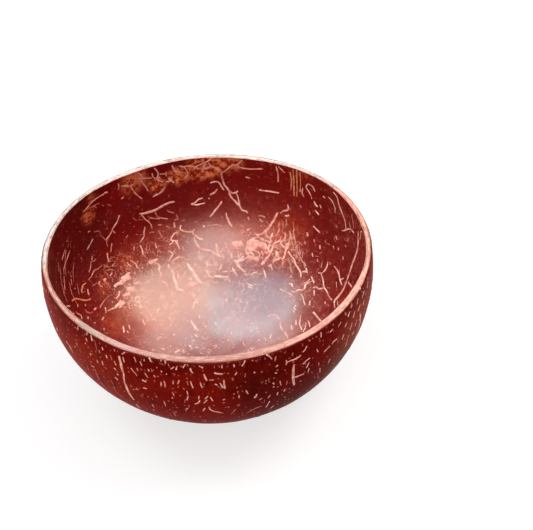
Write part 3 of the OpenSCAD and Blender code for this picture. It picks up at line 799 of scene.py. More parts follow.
BEHIND_PALE = [
    (0.9, (159, 174), (166, 174)), (0.8, (166, 172), (166, 176)),
    (0.9, (165, 187), (163, 190), (160, 193), (156, 195), (153, 197)),
    (1.1, (172, 165), (174, 169), (178, 174)), (1.0, (154, 168), (157, 171), (158, 175), (156, 179)),
    (1.1, (152, 173), (153, 177), (156, 179), (160, 181), (163, 182)), (0.9, (155, 180), (160, 177)),
    (1.1, (166, 182), (170, 181), (172, 179)), (1.5, (168, 178), (171, 180), (174, 183)),
    (1.1, (180, 167), (190, 166), (197, 168), (203, 169), (210, 167)), (0.9, (203, 169), (206, 162)),
    (1.0, (208, 163), (213, 167), (219, 170)), (1.0, (207, 162), (211, 159)),
    (0.9, (209, 166), (217, 168)), (0.9, (179, 166), (184, 167), (188, 173), (187, 176), (185, 178)),
    (0.8, (195, 167), (202, 164), (208, 161), (212, 158)),
    (1.0, (221, 173), (225, 171), (230, 167), (234, 165), (237, 165), (242, 160)),
    (1.0, (237, 166), (243, 168), (250, 169), (263, 169)),
    (1.5, (221, 173), (222, 178), (224, 184), (227, 188), (230, 192), (234, 193), (238, 191)),
    (1.3, (229, 192), (231, 197), (235, 201), (239, 205), (242, 210), (246, 211), (248, 213)),
    (0.9, (236, 193), (238, 197), (239, 202), (240, 206)),
    (0.9, (210, 183), (214, 182), (218, 182), (221, 186), (224, 190)),
    (1.3, (217, 189), (215, 192), (210, 195)), (1.0, (209, 198), (209, 199)),
    (1.0, (203, 198), (198, 200), (195, 203), (191, 204)),
    (1.0, (191, 204), (196, 205), (201, 204), (205, 203)),
    (1.0, (222, 201), (218, 207), (214, 212), (210, 217)), (1.3, (174, 222), (175, 228)),
    (1.0, (181, 225), (180, 229), (183, 231), (188, 232), (192, 232), (195, 229)),
    (0.9, (192, 232), (194, 235)), (1.0, (179, 232), (175, 233), (172, 237), (171, 240), (178, 241)),
    (0.9, (175, 240), (177, 244)), (1.2, (204, 225), (204, 227)),
    (1.3, (226, 213), (227, 217), (229, 222), (232, 227)), (1.2, (245, 177), (250, 178)),
    (0.9, (247, 230), (250, 229)), (0.8, (248, 217), (249, 220)),
    (1.3, (259, 190), (266, 191), (273, 192), (279, 193))]
BEHIND_DUSKY = [
    (0.6, (185, 181), (186, 183)), (1.0, (155, 212), (157, 216), (160, 218), (168, 219)),
    (0.8, (150, 218), (160, 219)), (0.8, (208, 188), (208, 189)), (0.8, (228, 182), (228, 183)),
    (0.9, (167, 210), (169, 212), (174, 213)), (0.9, (176, 215), (178, 219), (174, 220)),
    (0.8, (166, 226), (170, 228)), (0.8, (158, 225), (162, 225)),
    (0.9, (158, 230), (161, 235), (163, 239)), (0.8, (207, 226), (213, 225), (219, 225), (223, 226)),
    (0.8, (219, 235), (221, 234)), (0.8, (226, 240), (228, 237)), (0.8, (247, 238), (247, 239))]
print("rows read on the left:", len(LEFT_PALE + LEFT_DUSKY + LEFT_OILED + LEFT_TAN),
      "and behind:", len(BEHIND_PALE + BEHIND_DUSKY))

# %% Strands on the bottom and the right wall
BOTTOM_PALE = [
    (1.0, (195, 235), (198, 238), (203, 240)), (1.0, (194, 237), (196, 243), (199, 248)),
    (1.3, (216, 243), (217, 248), (218, 254), (221, 257)), (1.0, (155, 243), (156, 247), (157, 248)),
    (1.0, (168, 251), (171, 252), (173, 254), (171, 257), (169, 261)),
    (1.0, (169, 245), (172, 243), (174, 240)), (1.0, (177, 240), (178, 245), (180, 249)),
    (1.0, (172, 262), (174, 260), (177, 258), (180, 257)), (1.0, (168, 264), (169, 268)),
    (1.8, (171, 270), (173, 273), (174, 278), (176, 284), (177, 288), (180, 290), (184, 291)),
    (0.9, (178, 273), (178, 278)), (1.0, (162, 281), (166, 283), (167, 287)),
    (1.9, (187, 263), (190, 268), (194, 273), (197, 278), (200, 282), (202, 283)),
    (1.1, (188, 293), (193, 294), (196, 298), (197, 303)), (1.0, (196, 298), (194, 304), (193, 309)),
    (1.0, (196, 245), (199, 246), (200, 249), (198, 253)),
    (1.2, (200, 249), (206, 250), (211, 251), (214, 253), (221, 257)),
    (1.1, (219, 270), (221, 267), (221, 264)), (1.0, (206, 270), (208, 273), (209, 276), (213, 278)),
    (1.4, (213, 276.5), (219, 276.5), (225, 277), (229, 277)), (0.9, (222, 272), (228, 271)),
    (0.9, (211, 281), (214, 283), (218, 282)), (0.9, (229, 279), (230, 282)),
    (1.4, (199, 315), (200, 319)), (1.5, (191, 320), (193, 324), (196, 328), (199, 331)),
    (1.2, (194, 334), (198, 337)), (1.0, (209, 337), (210, 338)), (1.1, (173, 335), (175, 334)),
    (1.1, (226, 299), (227, 301)), (1.0, (239, 300), (242, 303)),
    (1.1, (244, 256), (240, 259), (237, 261)),
    (1.1, (236, 260), (237, 265), (240, 268), (243, 270), (246, 272)),
    (0.9, (232, 267), (234, 271), (237, 275)), (0.9, (246, 283), (253, 286)),
    (1.1, (248, 287), (253, 288)), (0.9, (250, 274), (257, 272)), (0.9, (249, 329), (252, 332)),
    (0.9, (258, 332), (259, 332)), (0.9, (231, 332), (232, 334)), (1.1, (161, 348), (165, 350)),
    (1.2, (175, 352), (180, 350)), (1.2, (189, 345), (191, 347)), (0.9, (196, 347), (198, 348)),
    (1.1, (190, 359), (193, 355)), (1.0, (200, 353), (202, 354)), (0.9, (214, 358), (216, 355)),
    (0.8, (262, 265), (265, 262)), (1.3, (270, 264), (271, 266)), (0.8, (271, 266), (273, 270)),
    (0.9, (264, 270), (265, 274), (266, 278)),
    (1.1, (268, 317), (270, 315), (274, 315), (277, 316), (279, 318)), (1.2, (271, 334), (270, 339)),
    (0.8, (265, 338), (266, 341)), (0.8, (256, 332), (259, 331)),
    (1.0, (280, 321), (280, 325), (282, 329), (286, 334), (288, 339)),
    (1.1, (296, 305), (294, 308), (296, 310)), (0.9, (293, 310), (295, 313)),
    (1.1, (296, 320), (296, 325)), (1.3, (291, 325), (292, 330)),
    (1.0, (301, 315), (300, 320), (300, 325), (302, 330)), (0.9, (306, 322), (305, 328), (303, 332)),
    (0.8, (308, 320), (310, 327)), (0.8, (243, 342), (244, 345), (246, 346))]
BOTTOM_DUSKY = [
    (0.8, (159, 249), (161, 253)), (0.8, (190, 255), (194, 253)), (0.8, (303, 262), (306, 266)),
    (0.8, (258, 343), (259, 344)), (0.9, (253, 347), (254, 347)), (0.8, (261, 322), (262, 326)),
    (0.8, (288, 261), (290, 265), (291, 271)), (0.9, (290, 276), (293, 278)),
    (0.9, (292, 280), (294, 281))]
RIGHT_PALE = [
    (1.5, (333, 192), (337, 197), (339, 205), (342, 213), (345, 221), (346, 229)),
    (1.0, (342, 231), (346, 230), (350, 229), (354, 233)),
    (1.1, (328, 197), (332, 201), (335, 208), (335, 213)),
    (1.7, (358, 235), (358, 245), (356, 254), (353, 262), (350, 271), (347, 280)),
    (1.9, (347, 280), (344, 288), (341, 293), (338, 297), (335, 300), (334, 303)),
    (1.2, (348, 282), (352, 287)), (1.1, (334, 266), (337, 270), (339, 275), (340, 280), (342, 285)),
    (0.9, (340, 280), (344, 278)), (0.9, (361, 231), (360, 240)),
    (1.0, (328, 261), (327, 266), (325, 270), (322, 273), (318, 273)),
    (1.0, (321, 274), (323, 280), (324, 287), (325, 289), (327, 292), (329, 297), (332, 300)),
    (1.0, (324, 288), (319, 289), (316, 287), (313, 288)), (1.0, (314, 290), (314, 296)),
    (1.0, (312, 281), (308, 283), (306, 284), (305, 288), (303, 290), (298, 290), (295, 292), (291, 291)),
    (1.1, (311, 276), (313, 281), (314, 283)), (1.2, (310, 301), (309, 306)),
    (1.4, (313, 312), (317, 317), (321, 321)), (1.0, (325, 302), (325, 304)),
    (1.3, (288, 284), (291, 284), (293, 287)), (0.9, (306, 268), (307, 272)),
    (1.4, (307, 232), (308, 237)), (1.0, (312, 253), (313, 257)),
    (1.1, (304, 283), (307, 282), (310, 279)), (1.0, (305, 284), (304, 290)),
    (0.8, (280, 289), (284, 291), (288, 293), (292, 295)),
    (0.8, (301, 294), (303, 297), (304, 302), (305, 305)),
    (1.0, (308, 184), (306, 187), (309, 192), (311, 196)), (0.9, (308, 184), (313, 187), (315, 192)),
    (0.9, (336, 236), (337, 240)), (0.8, (338, 247), (338, 250)), (0.9, (343, 256), (343, 260)),
    (0.9, (320, 245), (320, 249)), (0.9, (358, 231), (358, 240)),
    (1.6, (314, 201), (316, 205), (318, 207)), (1.0, (323, 196), (325, 198)),
    (0.9, (311, 197), (312, 199)), (0.9, (320, 205), (321, 208)),
    (0.9, (303, 188), (302, 193), (304, 197)), (1.0, (276, 166), (278, 174), (278, 182)),
    (0.9, (278, 166), (285, 173)), (1.0, (313, 226), (320, 233)), (0.9, (315, 210), (319, 215))]
RIGHT_DUSKY = [
    (0.7, (336, 282), (337, 288)), (0.7, (337, 300), (338, 306)), (0.7, (322, 262), (321, 268)),
    (0.7, (327, 304), (329, 306)), (0.7, (334, 303), (335, 308)), (0.8, (331, 219), (331, 222)),
    (0.8, (305, 241), (305, 244)), (0.8, (314, 239), (314, 242)), (0.8, (327, 231), (327, 233)),
    (0.8, (352, 214), (353, 222), (354, 229)), (0.8, (349, 222), (351, 228)),
    (0.8, (333, 246), (334, 249)), (0.8, (348, 238), (348, 242)), (0.8, (330, 262), (330, 265)),
    (0.8, (317, 259), (318, 262)), (0.8, (325, 241), (326, 243)), (0.8, (345, 245), (346, 247)),
    (0.8, (309, 212), (310, 215)), (0.8, (300, 205), (301, 208)), (0.8, (336, 225), (337, 228))]
print("rows read on the bottom:", len(BOTTOM_PALE + BOTTOM_DUSKY),
      "and on the right:", len(RIGHT_PALE + RIGHT_DUSKY))

# %% [markdown]
# The front of the cavity is hidden behind the rim. Its long strands are set by azimuth
# and share down the wall, like the solid's own, and a seeded scatter of short and forked
# ones lies between them.

# %% The cavity's strands as one piece
HIDDEN_SHORT = 110
HIDDEN_FRONT = [
    [(200, 0.10), (204, 0.16), (203, 0.22)], [(222, 0.30), (228, 0.34), (231, 0.40)],
    [(246, 0.12), (249, 0.18), (248, 0.23)], [(262, 0.22), (258, 0.28), (260, 0.36)],
    [(284, 0.10), (288, 0.17), (286, 0.24)], [(300, 0.32), (306, 0.36), (309, 0.43)],
    [(322, 0.14), (326, 0.22), (325, 0.28)], [(340, 0.30), (344, 0.38), (342, 0.46)]]
strands = new_cords("cavity_strands", FIBRES)
lay_rows(strands, LEFT_PALE + BEHIND_PALE + BOTTOM_PALE + RIGHT_PALE, PALE)
lay_rows(strands, LEFT_DUSKY + BEHIND_DUSKY + BOTTOM_DUSKY + RIGHT_DUSKY, DUSKY)
lay_rows(strands, LEFT_TAN, TAN)
lay_rows(strands, LEFT_OILED, OILED)
lay_hidden(strands, "cavity", HIDDEN_FRONT, PALE)
for _ in range(HIDDEN_SHORT):
    az, share = chance.uniform(200, 342), chance.uniform(0.05, 0.70)
    heading = chance.uniform(-1.6, 1.6)
    finish = PALE if chance.random() < 0.6 else DUSKY
    fork = chance.choice((0.9, -0.9, 0))
    arms = chance.choice((1, 2))
    for turn in (0, fork)[:arms]:
        length, width = chance.uniform(1.5, 6), chance.uniform(0.7, 1.1)
        bend = chance.uniform(-0.3, 0.3)
        fleck(strands, "cavity", share, az, heading + turn, length, width, finish, bend)
finish_cords(strands, "inner_strands")

# %% [markdown]
# ## The fan and the bundle
# On the right wall the strands spread downwards like the ribs of a fan. Above them four
# straight fibres run side by side from just under the rim. Each of the two is a piece of
# its own, as it is a node of its own among the solids.

# %% The fan
FAN_PALE = [
    (1.6, (277.5, 212.5), (275, 218), (272, 223), (268, 228), (264.5, 232.5), (260, 234.5), (255.5, 235)),
    (1.3, (259.5, 234.5), (258, 237), (254, 238), (251, 239.5)),
    (1.3, (265, 233), (267, 236), (270, 239), (271.5, 242), (269, 244)),
    (1.2, (260, 238), (263, 240), (267, 241), (270.5, 243)),
    (1.3, (273, 232.5), (271.5, 236), (270, 239), (271, 242)),
    (1.2, (287.5, 204.5), (288.5, 208), (287, 210.5), (283, 211), (280.5, 213.5)),
    (1.0, (287.5, 214.5), (288.5, 215.5), (285, 216)), (1.1, (279.5, 228), (278.5, 232), (276, 236)),
    (1.4, (285, 232), (285.5, 236), (284, 240), (280.5, 243), (283, 247)),
    (1.5, (289.5, 231), (290.5, 236), (289, 241), (288, 246), (285.5, 251), (284.5, 256), (283, 259)),
    (1.5, (281, 239), (278, 241.5), (273, 244), (272.5, 248), (270, 253), (267, 258), (263.5, 261.5),
     (261, 264.5)),
    (1.4, (272, 245), (269, 246), (268, 249), (269, 251), (266, 254)),
    (1.1, (275, 251), (278, 252), (277, 255), (275, 257), (273, 262)),
    (1.2, (279.5, 256), (279, 259), (275, 260), (272.5, 263)),
    (1.3, (288, 251), (291, 256), (294, 259), (295, 263), (298, 268), (300.5, 272), (301, 277.5)),
    (1.3, (245.5, 249.5), (246.5, 253), (248.5, 255)),
    (1.3, (255, 250.5), (258, 252.5), (260, 255), (259, 257.5)), (1.2, (250, 252), (254, 255)),
    (1.4, (245, 259), (242, 260.5), (237.5, 261)),
    (1.4, (237.5, 259), (238.5, 265), (240, 268), (244, 272)),
    (1.0, (302, 272), (305, 271.5), (307.5, 273)), (1.1, (287, 243), (285, 247), (286, 250)),
    (1.3, (268.5, 265.5), (271, 266.5)), (1.0, (264, 245), (267, 247), (265, 250)),
    (1.1, (283, 247), (286, 246), (288, 243)), (1.1, (231, 254), (232, 259)),
    (0.9, (238, 254), (239, 258), (241, 260.5)), (0.9, (246, 262), (250, 259.5))]
FAN_DUSKY = [
    (1.1, (293, 230), (294, 237), (295.5, 243), (297, 249), (298.5, 254)),
    (1.0, (288, 239), (286, 242), (284, 245)), (0.9, (279.5, 221.5), (279, 225), (278.5, 228)),
    (1.0, (259, 215.5), (262.5, 216), (265, 217.5)), (1.0, (260, 219), (262.5, 222)),
    (0.8, (276, 245), (278, 247), (277, 250)), (0.8, (279, 247), (281, 249)),
    (0.9, (289, 260), (290.5, 265), (290, 269)), (0.9, (291, 259), (293, 263)),
    (1.0, (290, 277), (293, 278)), (1.0, (292, 281), (294, 282)), (0.9, (289, 285), (291, 286)),
    (0.8, (279, 283), (278, 287)), (0.8, (274, 265), (276.5, 269)), (0.8, (272, 267), (273, 270)),
    (0.8, (296, 251), (299, 256), (299, 262)), (0.8, (283, 222), (283, 228), (282, 232)),
    (0.7, (286, 219), (287, 226)), (0.8, (291, 236), (292, 243), (294, 249)),
    (0.8, (281, 250), (279, 253)), (0.7, (276, 239), (275, 242)), (0.8, (283, 250), (281, 254)),
    (0.7, (295, 262), (299, 264)), (0.8, (300, 257), (303, 263)),
    (0.7, (276, 247), (279, 244.5), (282, 246)), (0.7, (284, 243), (286, 240), (288, 242)),
    (0.8, (288.5, 267), (291, 271.5), (293, 273)), (0.7, (299, 247), (300, 253), (299, 258)),
    (0.7, (303, 252), (302, 258)), (0.7, (293, 222), (294, 231)),
    (0.7, (277, 257), (281, 258), (284, 262)),
    (0.8, (229, 250.5), (234, 249), (241, 249.5), (244, 251.5)),
    (0.7, (244, 268), (249, 270.5), (254, 269.5)), (0.7, (296, 243), (296, 252), (297, 259)),
    (0.7, (286, 224), (285, 229)), (0.7, (274, 226), (273, 230)), (0.7, (266, 221), (268, 224)),
    (0.7, (247, 229), (252, 228)), (0.7, (282, 262), (283, 268)), (0.7, (303, 263), (305, 268)),
    (0.7, (263, 268), (264, 274)), (0.7, (257, 271), (258, 276))]
fan = new_cords("fan_strands", FIBRES)
lay_rows(fan, FAN_PALE, PALE)
lay_rows(fan, FAN_DUSKY, DUSKY)
finish_cords(fan, "strand_fan")

# %% The bundle
BUNDLE = [
    (1.0, (290, 172), (291.5, 180), (291, 190)), (1.1, (292.8, 169), (294, 182), (294, 196)),
    (1.1, (296.5, 169), (297, 182), (297, 196)), (0.8, (300, 172), (300.5, 183), (300, 192))]
bundle = new_cords("bundled_fibres", FIBRES)
lay_rows(bundle, BUNDLE, TAN)
finish_cords(bundle, "fibre_bundle")

# %% [markdown]
# ## The fibres of the outside
# The sanding cut most of these fibres across, so they show as short dashes, many of
# them upright. The rows follow the photograph in front. The sides and the back, which
# it doesn't show, get a few long fibres and a seeded scatter of the same dashes. A fringe
# of cut ends hangs just under the sawn rim.

# %% The outside's fibres
OUTSIDE_LONG = [
    (2.0, (119, 356), (120, 360), (121, 364), (122, 369), (123, 372)),
    (1.3, (122, 368), (123.5, 373), (124, 379), (125, 384)),
    (1.6, (125, 383), (127, 389), (129, 393), (131, 396), (134, 400)), (0.9, (136, 404), (140, 408)),
    (2.1, (294, 364), (293.4, 370), (293.2, 376), (293.4, 381), (294, 385)),
    (1.0, (293, 378), (298, 376), (304, 374)), (1.0, (287, 362), (293, 360), (299, 357), (301, 355)),
    (0.9, (286, 360), (287, 362), (286, 365)), (1.0, (66, 341), (69, 345), (71, 349), (73, 353)),
    (1.0, (209, 407), (210, 409), (213, 411), (218, 412), (223, 413)),
    (1.2, (214, 373), (218, 374), (223, 374)), (1.2, (204, 374), (205, 377), (207, 381)),
    (1.2, (220, 383), (223, 388)), (1.2, (224, 380), (224, 384), (225, 389))]
OUTSIDE_PALE = [
    (0.9, (78, 326), (78, 330)), (0.9, (87, 332), (87, 335)), (0.9, (91, 335), (92, 341)),
    (0.9, (86, 338), (87, 341)), (1.0, (85, 343), (86, 344)), (1.0, (75, 346), (75, 347)),
    (1.0, (102, 347), (103, 350)), (1.0, (99, 350), (100, 353)), (0.9, (114, 349), (115, 351)),
    (1.2, (90, 353), (91, 355)), (1.1, (106, 355), (107, 358)), (0.9, (97, 360), (98, 363)),
    (0.9, (102, 361), (103, 365)), (1.0, (92, 366), (94, 367)), (1.1, (114, 361), (116, 365)),
    (1.0, (114, 368), (116, 370)), (1.1, (117, 374), (119, 375)), (0.9, (115, 377), (118, 380)),
    (0.9, (123, 357), (124, 362)), (1.1, (122, 354), (125, 352)), (1.1, (134, 357), (136, 362)),
    (1.0, (140, 361), (142, 366)), (1.1, (144, 359), (144, 361)), (1.2, (149, 357.5), (151, 362)),
    (0.9, (161, 359.5), (161, 361.5)), (0.9, (131, 368), (133, 371), (135, 373), (137, 376)),
    (0.9, (137, 368), (138, 371)), (1.1, (148, 369), (149, 371)), (1.0, (145, 373), (148, 378)),
    (1.0, (157, 367), (157, 368)), (1.1, (154, 375), (155, 377)),
    (1.5, (142, 380), (144, 381), (146, 382)), (1.5, (143, 388), (145, 388), (147, 389)),
    (1.1, (133, 389), (134, 390)), (1.0, (136, 388), (138, 390)), (1.0, (152, 404), (154, 407)),
    (0.9, (153, 410), (154, 410)), (1.0, (156, 396), (157, 397)), (1.1, (161, 371), (162, 372)),
    (1.0, (166, 374), (167, 374)), (1.1, (165, 360), (165.5, 363.5)), (1.0, (171, 369), (174, 367)),
    (1.2, (177, 366), (176, 370)), (1.1, (185, 364), (183, 368)), (0.8, (187, 364), (188, 366)),
    (1.3, (190, 368), (191, 371), (193, 373)), (1.1, (199, 366), (201, 367), (203, 368)),
    (1.1, (222, 365), (222, 368)), (1.1, (234, 364), (234, 367)),
    (1.2, (245, 360), (244, 363), (242, 366)), (0.9, (252, 360), (253, 361)),
    (1.1, (237, 372), (235, 375)), (1.2, (254, 372), (255, 373)), (1.0, (161, 382), (161, 386)),
    (1.3, (164, 381), (165, 384), (165, 387)), (1.1, (173, 381), (173, 384)),
    (0.9, (172, 392), (174, 395)), (1.2, (172, 398), (173, 398)), (1.1, (179, 380), (178, 384)),
    (1.1, (190, 381), (192, 385), (193, 388)), (1.1, (200, 382), (201, 385), (202, 388)),
    (1.3, (215, 384), (217, 385)), (0.9, (187, 391), (188, 395)), (1.0, (188, 396), (187, 400)),
    (1.1, (199, 396), (199, 399)), (1.2, (208, 396), (205, 399)), (1.2, (210, 397), (213, 401)),
    (1.1, (200, 400), (198, 403), (195, 404)), (1.2, (207, 400), (204, 403)),
    (1.0, (239, 395), (239, 398)), (0.9, (246, 390), (248, 394)), (0.9, (225, 399), (223, 400)),
    (0.9, (164, 401), (165, 404), (166, 406)), (1.0, (188, 408), (186, 410)),
    (1.0, (205, 408), (203, 411)), (0.9, (228, 407), (229, 407)), (0.9, (257, 395), (255, 398)),
    (1.1, (265, 353), (267, 355), (270, 357), (272, 359)), (0.9, (276, 356), (275, 361)),
    (1.1, (278, 365), (276, 367)), (1.1, (275, 373), (277, 373)),
    (1.0, (307, 346), (305, 350), (303, 352)), (1.1, (317, 349), (318, 352)),
    (1.1, (321, 332), (321, 337)), (0.9, (310, 358), (307, 360), (303, 364)),
    (0.9, (309, 362), (308, 365), (306, 368)), (0.9, (309, 368), (308, 372)),
    (1.0, (333, 329), (330, 332)), (0.9, (341, 322), (338, 327)),
    (1.0, (337, 339), (334, 341), (332, 344)), (0.9, (330, 346), (327, 349), (324, 352)),
    (1.1, (330, 359), (328, 363)), (1.1, (334, 363), (333, 364)), (0.9, (320, 368), (320, 372)),
    (1.0, (300, 381), (301, 381)), (0.9, (280, 381), (281, 385)), (1.1, (273, 383), (274, 384)),
    (1.1, (273, 387), (274, 387)), (0.9, (285, 389), (284, 391)), (1.0, (257, 394), (254, 398)),
    (1.1, (262, 398), (259, 400)), (1.0, (270, 395), (268, 398)), (1.1, (278, 392), (277, 395)),
    (0.9, (284, 397), (285, 397)), (0.9, (270, 401), (268, 404), (266, 407)),
    (0.9, (273, 406), (271, 408)), (0.8, (354, 331), (352, 335)), (0.8, (345, 312), (346, 315)),
    (0.9, (355, 290), (354, 296)), (0.9, (361, 283), (360, 290)), (0.9, (366, 270), (365, 277)),
    (0.8, (364, 291), (362, 298)), (0.9, (358, 298), (357, 304)), (0.9, (352, 303), (351, 308)),
    (0.9, (350, 311), (348, 317)), (0.9, (355, 311), (353, 318)), (0.8, (360, 305), (358, 311)),
    (0.9, (357, 320), (355, 326)), (0.9, (352, 323), (350, 330)), (0.9, (347, 322), (345, 327)),
    (0.8, (361, 315), (359, 321)), (0.9, (349, 335), (347, 341)), (0.9, (344, 334), (342, 340)),
    (0.8, (364, 300), (363, 305)), (0.8, (368, 281), (367, 288)), (0.9, (347, 342), (345, 347))]
OUTSIDE_DUSKY = [
    (0.8, (95, 340), (96, 346), (97, 350)), (0.8, (88, 357), (89, 357)), (0.8, (110, 355), (112, 359)),
    (0.8, (85, 360), (86, 362)), (0.8, (104, 367), (105, 368)), (0.8, (93, 369), (94, 370)),
    (0.8, (87, 365), (89, 370)),
    (0.9, (95, 369), (97, 374), (99, 379), (101, 382), (103, 385), (107, 389)),
    (0.8, (90, 374), (93, 379)), (0.8, (111, 380), (113, 384), (115, 389)),
    (0.8, (112, 386), (115, 390), (119, 394), (124, 398)), (0.8, (148, 396), (148, 397)),
    (0.8, (143, 394), (143, 395)), (0.8, (147, 402), (148, 402)), (0.8, (162, 364), (163, 365)),
    (0.8, (158, 376), (159, 376)), (0.8, (191, 374), (191, 375)), (0.9, (245, 374), (246, 374)),
    (0.8, (245, 382), (246, 382)), (0.8, (209, 380), (214, 380)), (0.8, (218, 379), (219, 379)),
    (0.8, (173, 388), (173, 389)), (0.8, (178, 386), (178, 388)), (0.8, (187, 381), (188, 385)),
    (0.8, (217, 385), (221, 389)), (0.9, (237, 387), (237, 388)), (0.8, (242, 391), (243, 391)),
    (0.8, (233, 397), (234, 398)), (0.8, (225, 402), (223, 403)), (0.8, (175, 405), (176, 405)),
    (0.8, (167, 411), (168, 411)), (0.8, (162, 407), (163, 407)), (0.8, (189, 405), (189, 407)),
    (0.8, (236, 409), (234, 411), (231, 414)), (0.8, (240, 404), (238, 406)),
    (0.8, (246, 407), (247, 407)), (0.8, (176, 411), (176, 413)), (0.8, (173, 411), (176, 416)),
    (0.8, (200, 416), (201, 417)), (0.9, (247, 413), (252, 410), (258, 407), (262, 406)),
    (0.8, (286, 373), (287, 373)), (0.9, (293, 353), (292, 356)), (0.8, (316, 336), (317, 337)),
    (0.8, (329, 331), (328, 333)), (0.8, (317, 374), (318, 374)),
    (0.8, (337, 362), (334, 367), (331, 370)), (0.8, (338, 351), (338, 353)),
    (0.8, (302, 366), (303, 367)), (0.8, (301, 359), (302, 359)), (0.8, (262, 382), (263, 382))]
HIDDEN_OUTSIDE = [
    [(330, 0.10), (331, 0.16), (329, 0.22)], [(352, 0.22), (355, 0.27), (354, 0.34)],
    [(18, 0.12), (20, 0.19), (19, 0.27)], [(57, 0.05), (58, 0.13), (60, 0.20), (60, 0.30)],
    [(96, 0.22), (100, 0.28), (101, 0.36)]]
print("outside rows:", len(OUTSIDE_LONG + OUTSIDE_PALE + OUTSIDE_DUSKY))

# %% The outside's cords as one piece
OUTSIDE_DASHES, FRINGE_ENDS, FRINGE_SHARE = 520, 100, 0.012
fibres = new_cords("outside_fibres", HUSK_FIBRES)
lay_rows(fibres, OUTSIDE_LONG, PALE, 0.9)
lay_rows(fibres, OUTSIDE_PALE, PALE, 0.66)
lay_rows(fibres, OUTSIDE_DUSKY, DUSKY, 0.7)
lay_hidden(fibres, "outside", HIDDEN_OUTSIDE, PALE)
for _ in range(OUTSIDE_DASHES):
    az, share = chance.uniform(0, 360), chance.uniform(0.02, 0.76) ** 0.9
    front = 205 < az < 340
    if front and chance.random() < 0.55:
        continue
    heading, length = chance.gauss(0, 0.35), chance.uniform(0.8, 2.6)
    width = chance.uniform(0.4, 0.6) if front else chance.uniform(0.6, 1.0)
    finish = DUSKY if front or chance.random() < 0.4 else PALE
    bend = chance.uniform(-0.1, 0.1)
    fleck(fibres, "outside", share, az, heading, length, width, finish, bend)
for _ in range(FRINGE_ENDS):
    az, heading = chance.uniform(0, 360), chance.gauss(0, 0.3)
    length, width = chance.uniform(0.5, 1.4), chance.uniform(0.35, 0.55)
    fleck(fibres, "outside", FRINGE_SHARE, az, heading, length, width, DUSKY)
finish_cords(fibres, "outer_fibres")

# %% [markdown]
# Between the strands the cavity is full of small squiggles and dots, closest together
# low down. They share one piece and are as simple as a cord can be.

# %% Squiggles in the cavity
SQUIGGLES, SQUIGGLE_PROUD = 820, 0.06
DOTS, DOT_PROUD = 170, 0.08
squiggles = new_cords("cavity_flecks", FIBRES, 6)
for _ in range(SQUIGGLES):
    share = 0.04 + 0.90 * chance.random() ** 0.70
    az = chance.uniform(0, 360)
    if share < 0.30 and 60 < az < 150 and chance.random() < 0.8:
        continue
    heading, length = chance.uniform(0, math.tau), chance.uniform(0.6, 2.8)
    width, bend = chance.uniform(0.35, 0.6), chance.uniform(-0.8, 0.8)
    fleck(squiggles, "cavity", share, az, heading, length, width, OILED, bend, SQUIGGLE_PROUD)
for _ in range(DOTS):
    share, az = chance.uniform(0.76, 0.97), chance.uniform(0, 360)
    heading, length = chance.uniform(0, math.tau), chance.uniform(0.5, 1.5)
    width, bend = chance.uniform(0.35, 0.6), chance.uniform(-0.8, 0.8)
    fleck(squiggles, "cavity", share, az, heading, length, width, PALE, bend, DOT_PROUD)
finish_cords(squiggles, None)

# %% [markdown]
# ## The skin flakes
# Thirteen scraps of the nut's inner skin are left on the wall. Each is a thin plate with a
# ragged outline. The outline is drawn in pixels as one flat face, cut up finely, and
# each of its points is then sent along its line of sight onto the wall. Its middle
# stands a little proud, its edge is sunk, and an extrusion into the wall gives it a back.

# %% The outlines and the finish of the flakes
FLAKES = [
    [(231, 241.5), (236, 240.8), (242.5, 241), (243, 246.5), (239.5, 247.5), (236, 248.5), (231.5, 247)],
    [(246.5, 240.5), (251, 238.5), (257, 239), (260, 241), (265, 242), (267.5, 245), (266, 249),
     (262, 249.5), (259, 248), (255, 251), (250, 252), (247.5, 249.5), (245.5, 251), (246, 245)],
    [(248, 255), (251, 255), (254, 256), (259, 257.5), (259.5, 261), (254, 260.5), (249, 259), (245, 260),
     (244, 258.5)],
    [(113, 286), (116, 283), (120, 281), (121, 277), (125, 274), (129, 272), (131.5, 270.5), (130, 275),
     (132.5, 277.5), (130, 280), (126, 282.5), (123, 285), (119, 285.5), (115, 288)],
    [(148, 263.5), (149, 261), (152, 259.5), (157, 258), (158.5, 259.5), (155, 262.5), (151, 264.5)],
    [(133.5, 284), (136.5, 281.5), (139, 280), (141, 282), (142, 285.5), (138, 285)],
    [(275, 252), (277, 251), (279.5, 254), (279.5, 257), (276.5, 258.5), (275, 255)],
    [(122, 295), (125, 293.5), (127, 292), (130, 293), (130.5, 295.5), (127, 296.5), (124, 297.5)],
    [(125.5, 289), (129, 286.5), (133, 287), (135, 289.5), (131, 291), (127, 291.5)],
    [(114, 307.5), (118, 303), (123, 300), (125, 300.5), (122, 304), (118, 307), (115.5, 309.5)],
    [(102.5, 280), (105.5, 277.5), (107, 279.5), (104, 282)],
    [(187, 284), (190.5, 281.5), (196, 282), (198, 285), (194, 288), (189, 287.5)],
    [(213.5, 264), (216.5, 262.5), (218.5, 265), (216, 268)]]
paint, where = new_paint("skin_flake")
cloud = paint.noise(where, 480, 4, 0.6)
colour = paint.mix(paint.step(cloud, 0.40, 0.60), srgb(228, 156, 136), srgb(253, 206, 190))
flake_finish = paint.finish(Base_Color=colour, Roughness=0.5 + cloud * 0.1,
                            Normal=paint.bump(0.5, 0.0003, cloud), Specular_IOR_Level=0.12)
print("flakes:", len(FLAKES))

# %% The flakes as one piece
CUTS, RAGGED_PX = 4, 1.1
EDGE_SUNK, MIDDLE_PROUD, UNEVEN, FLAKE_DEPTH = 0.00012, 0.00016, 0.00006, 0.0006


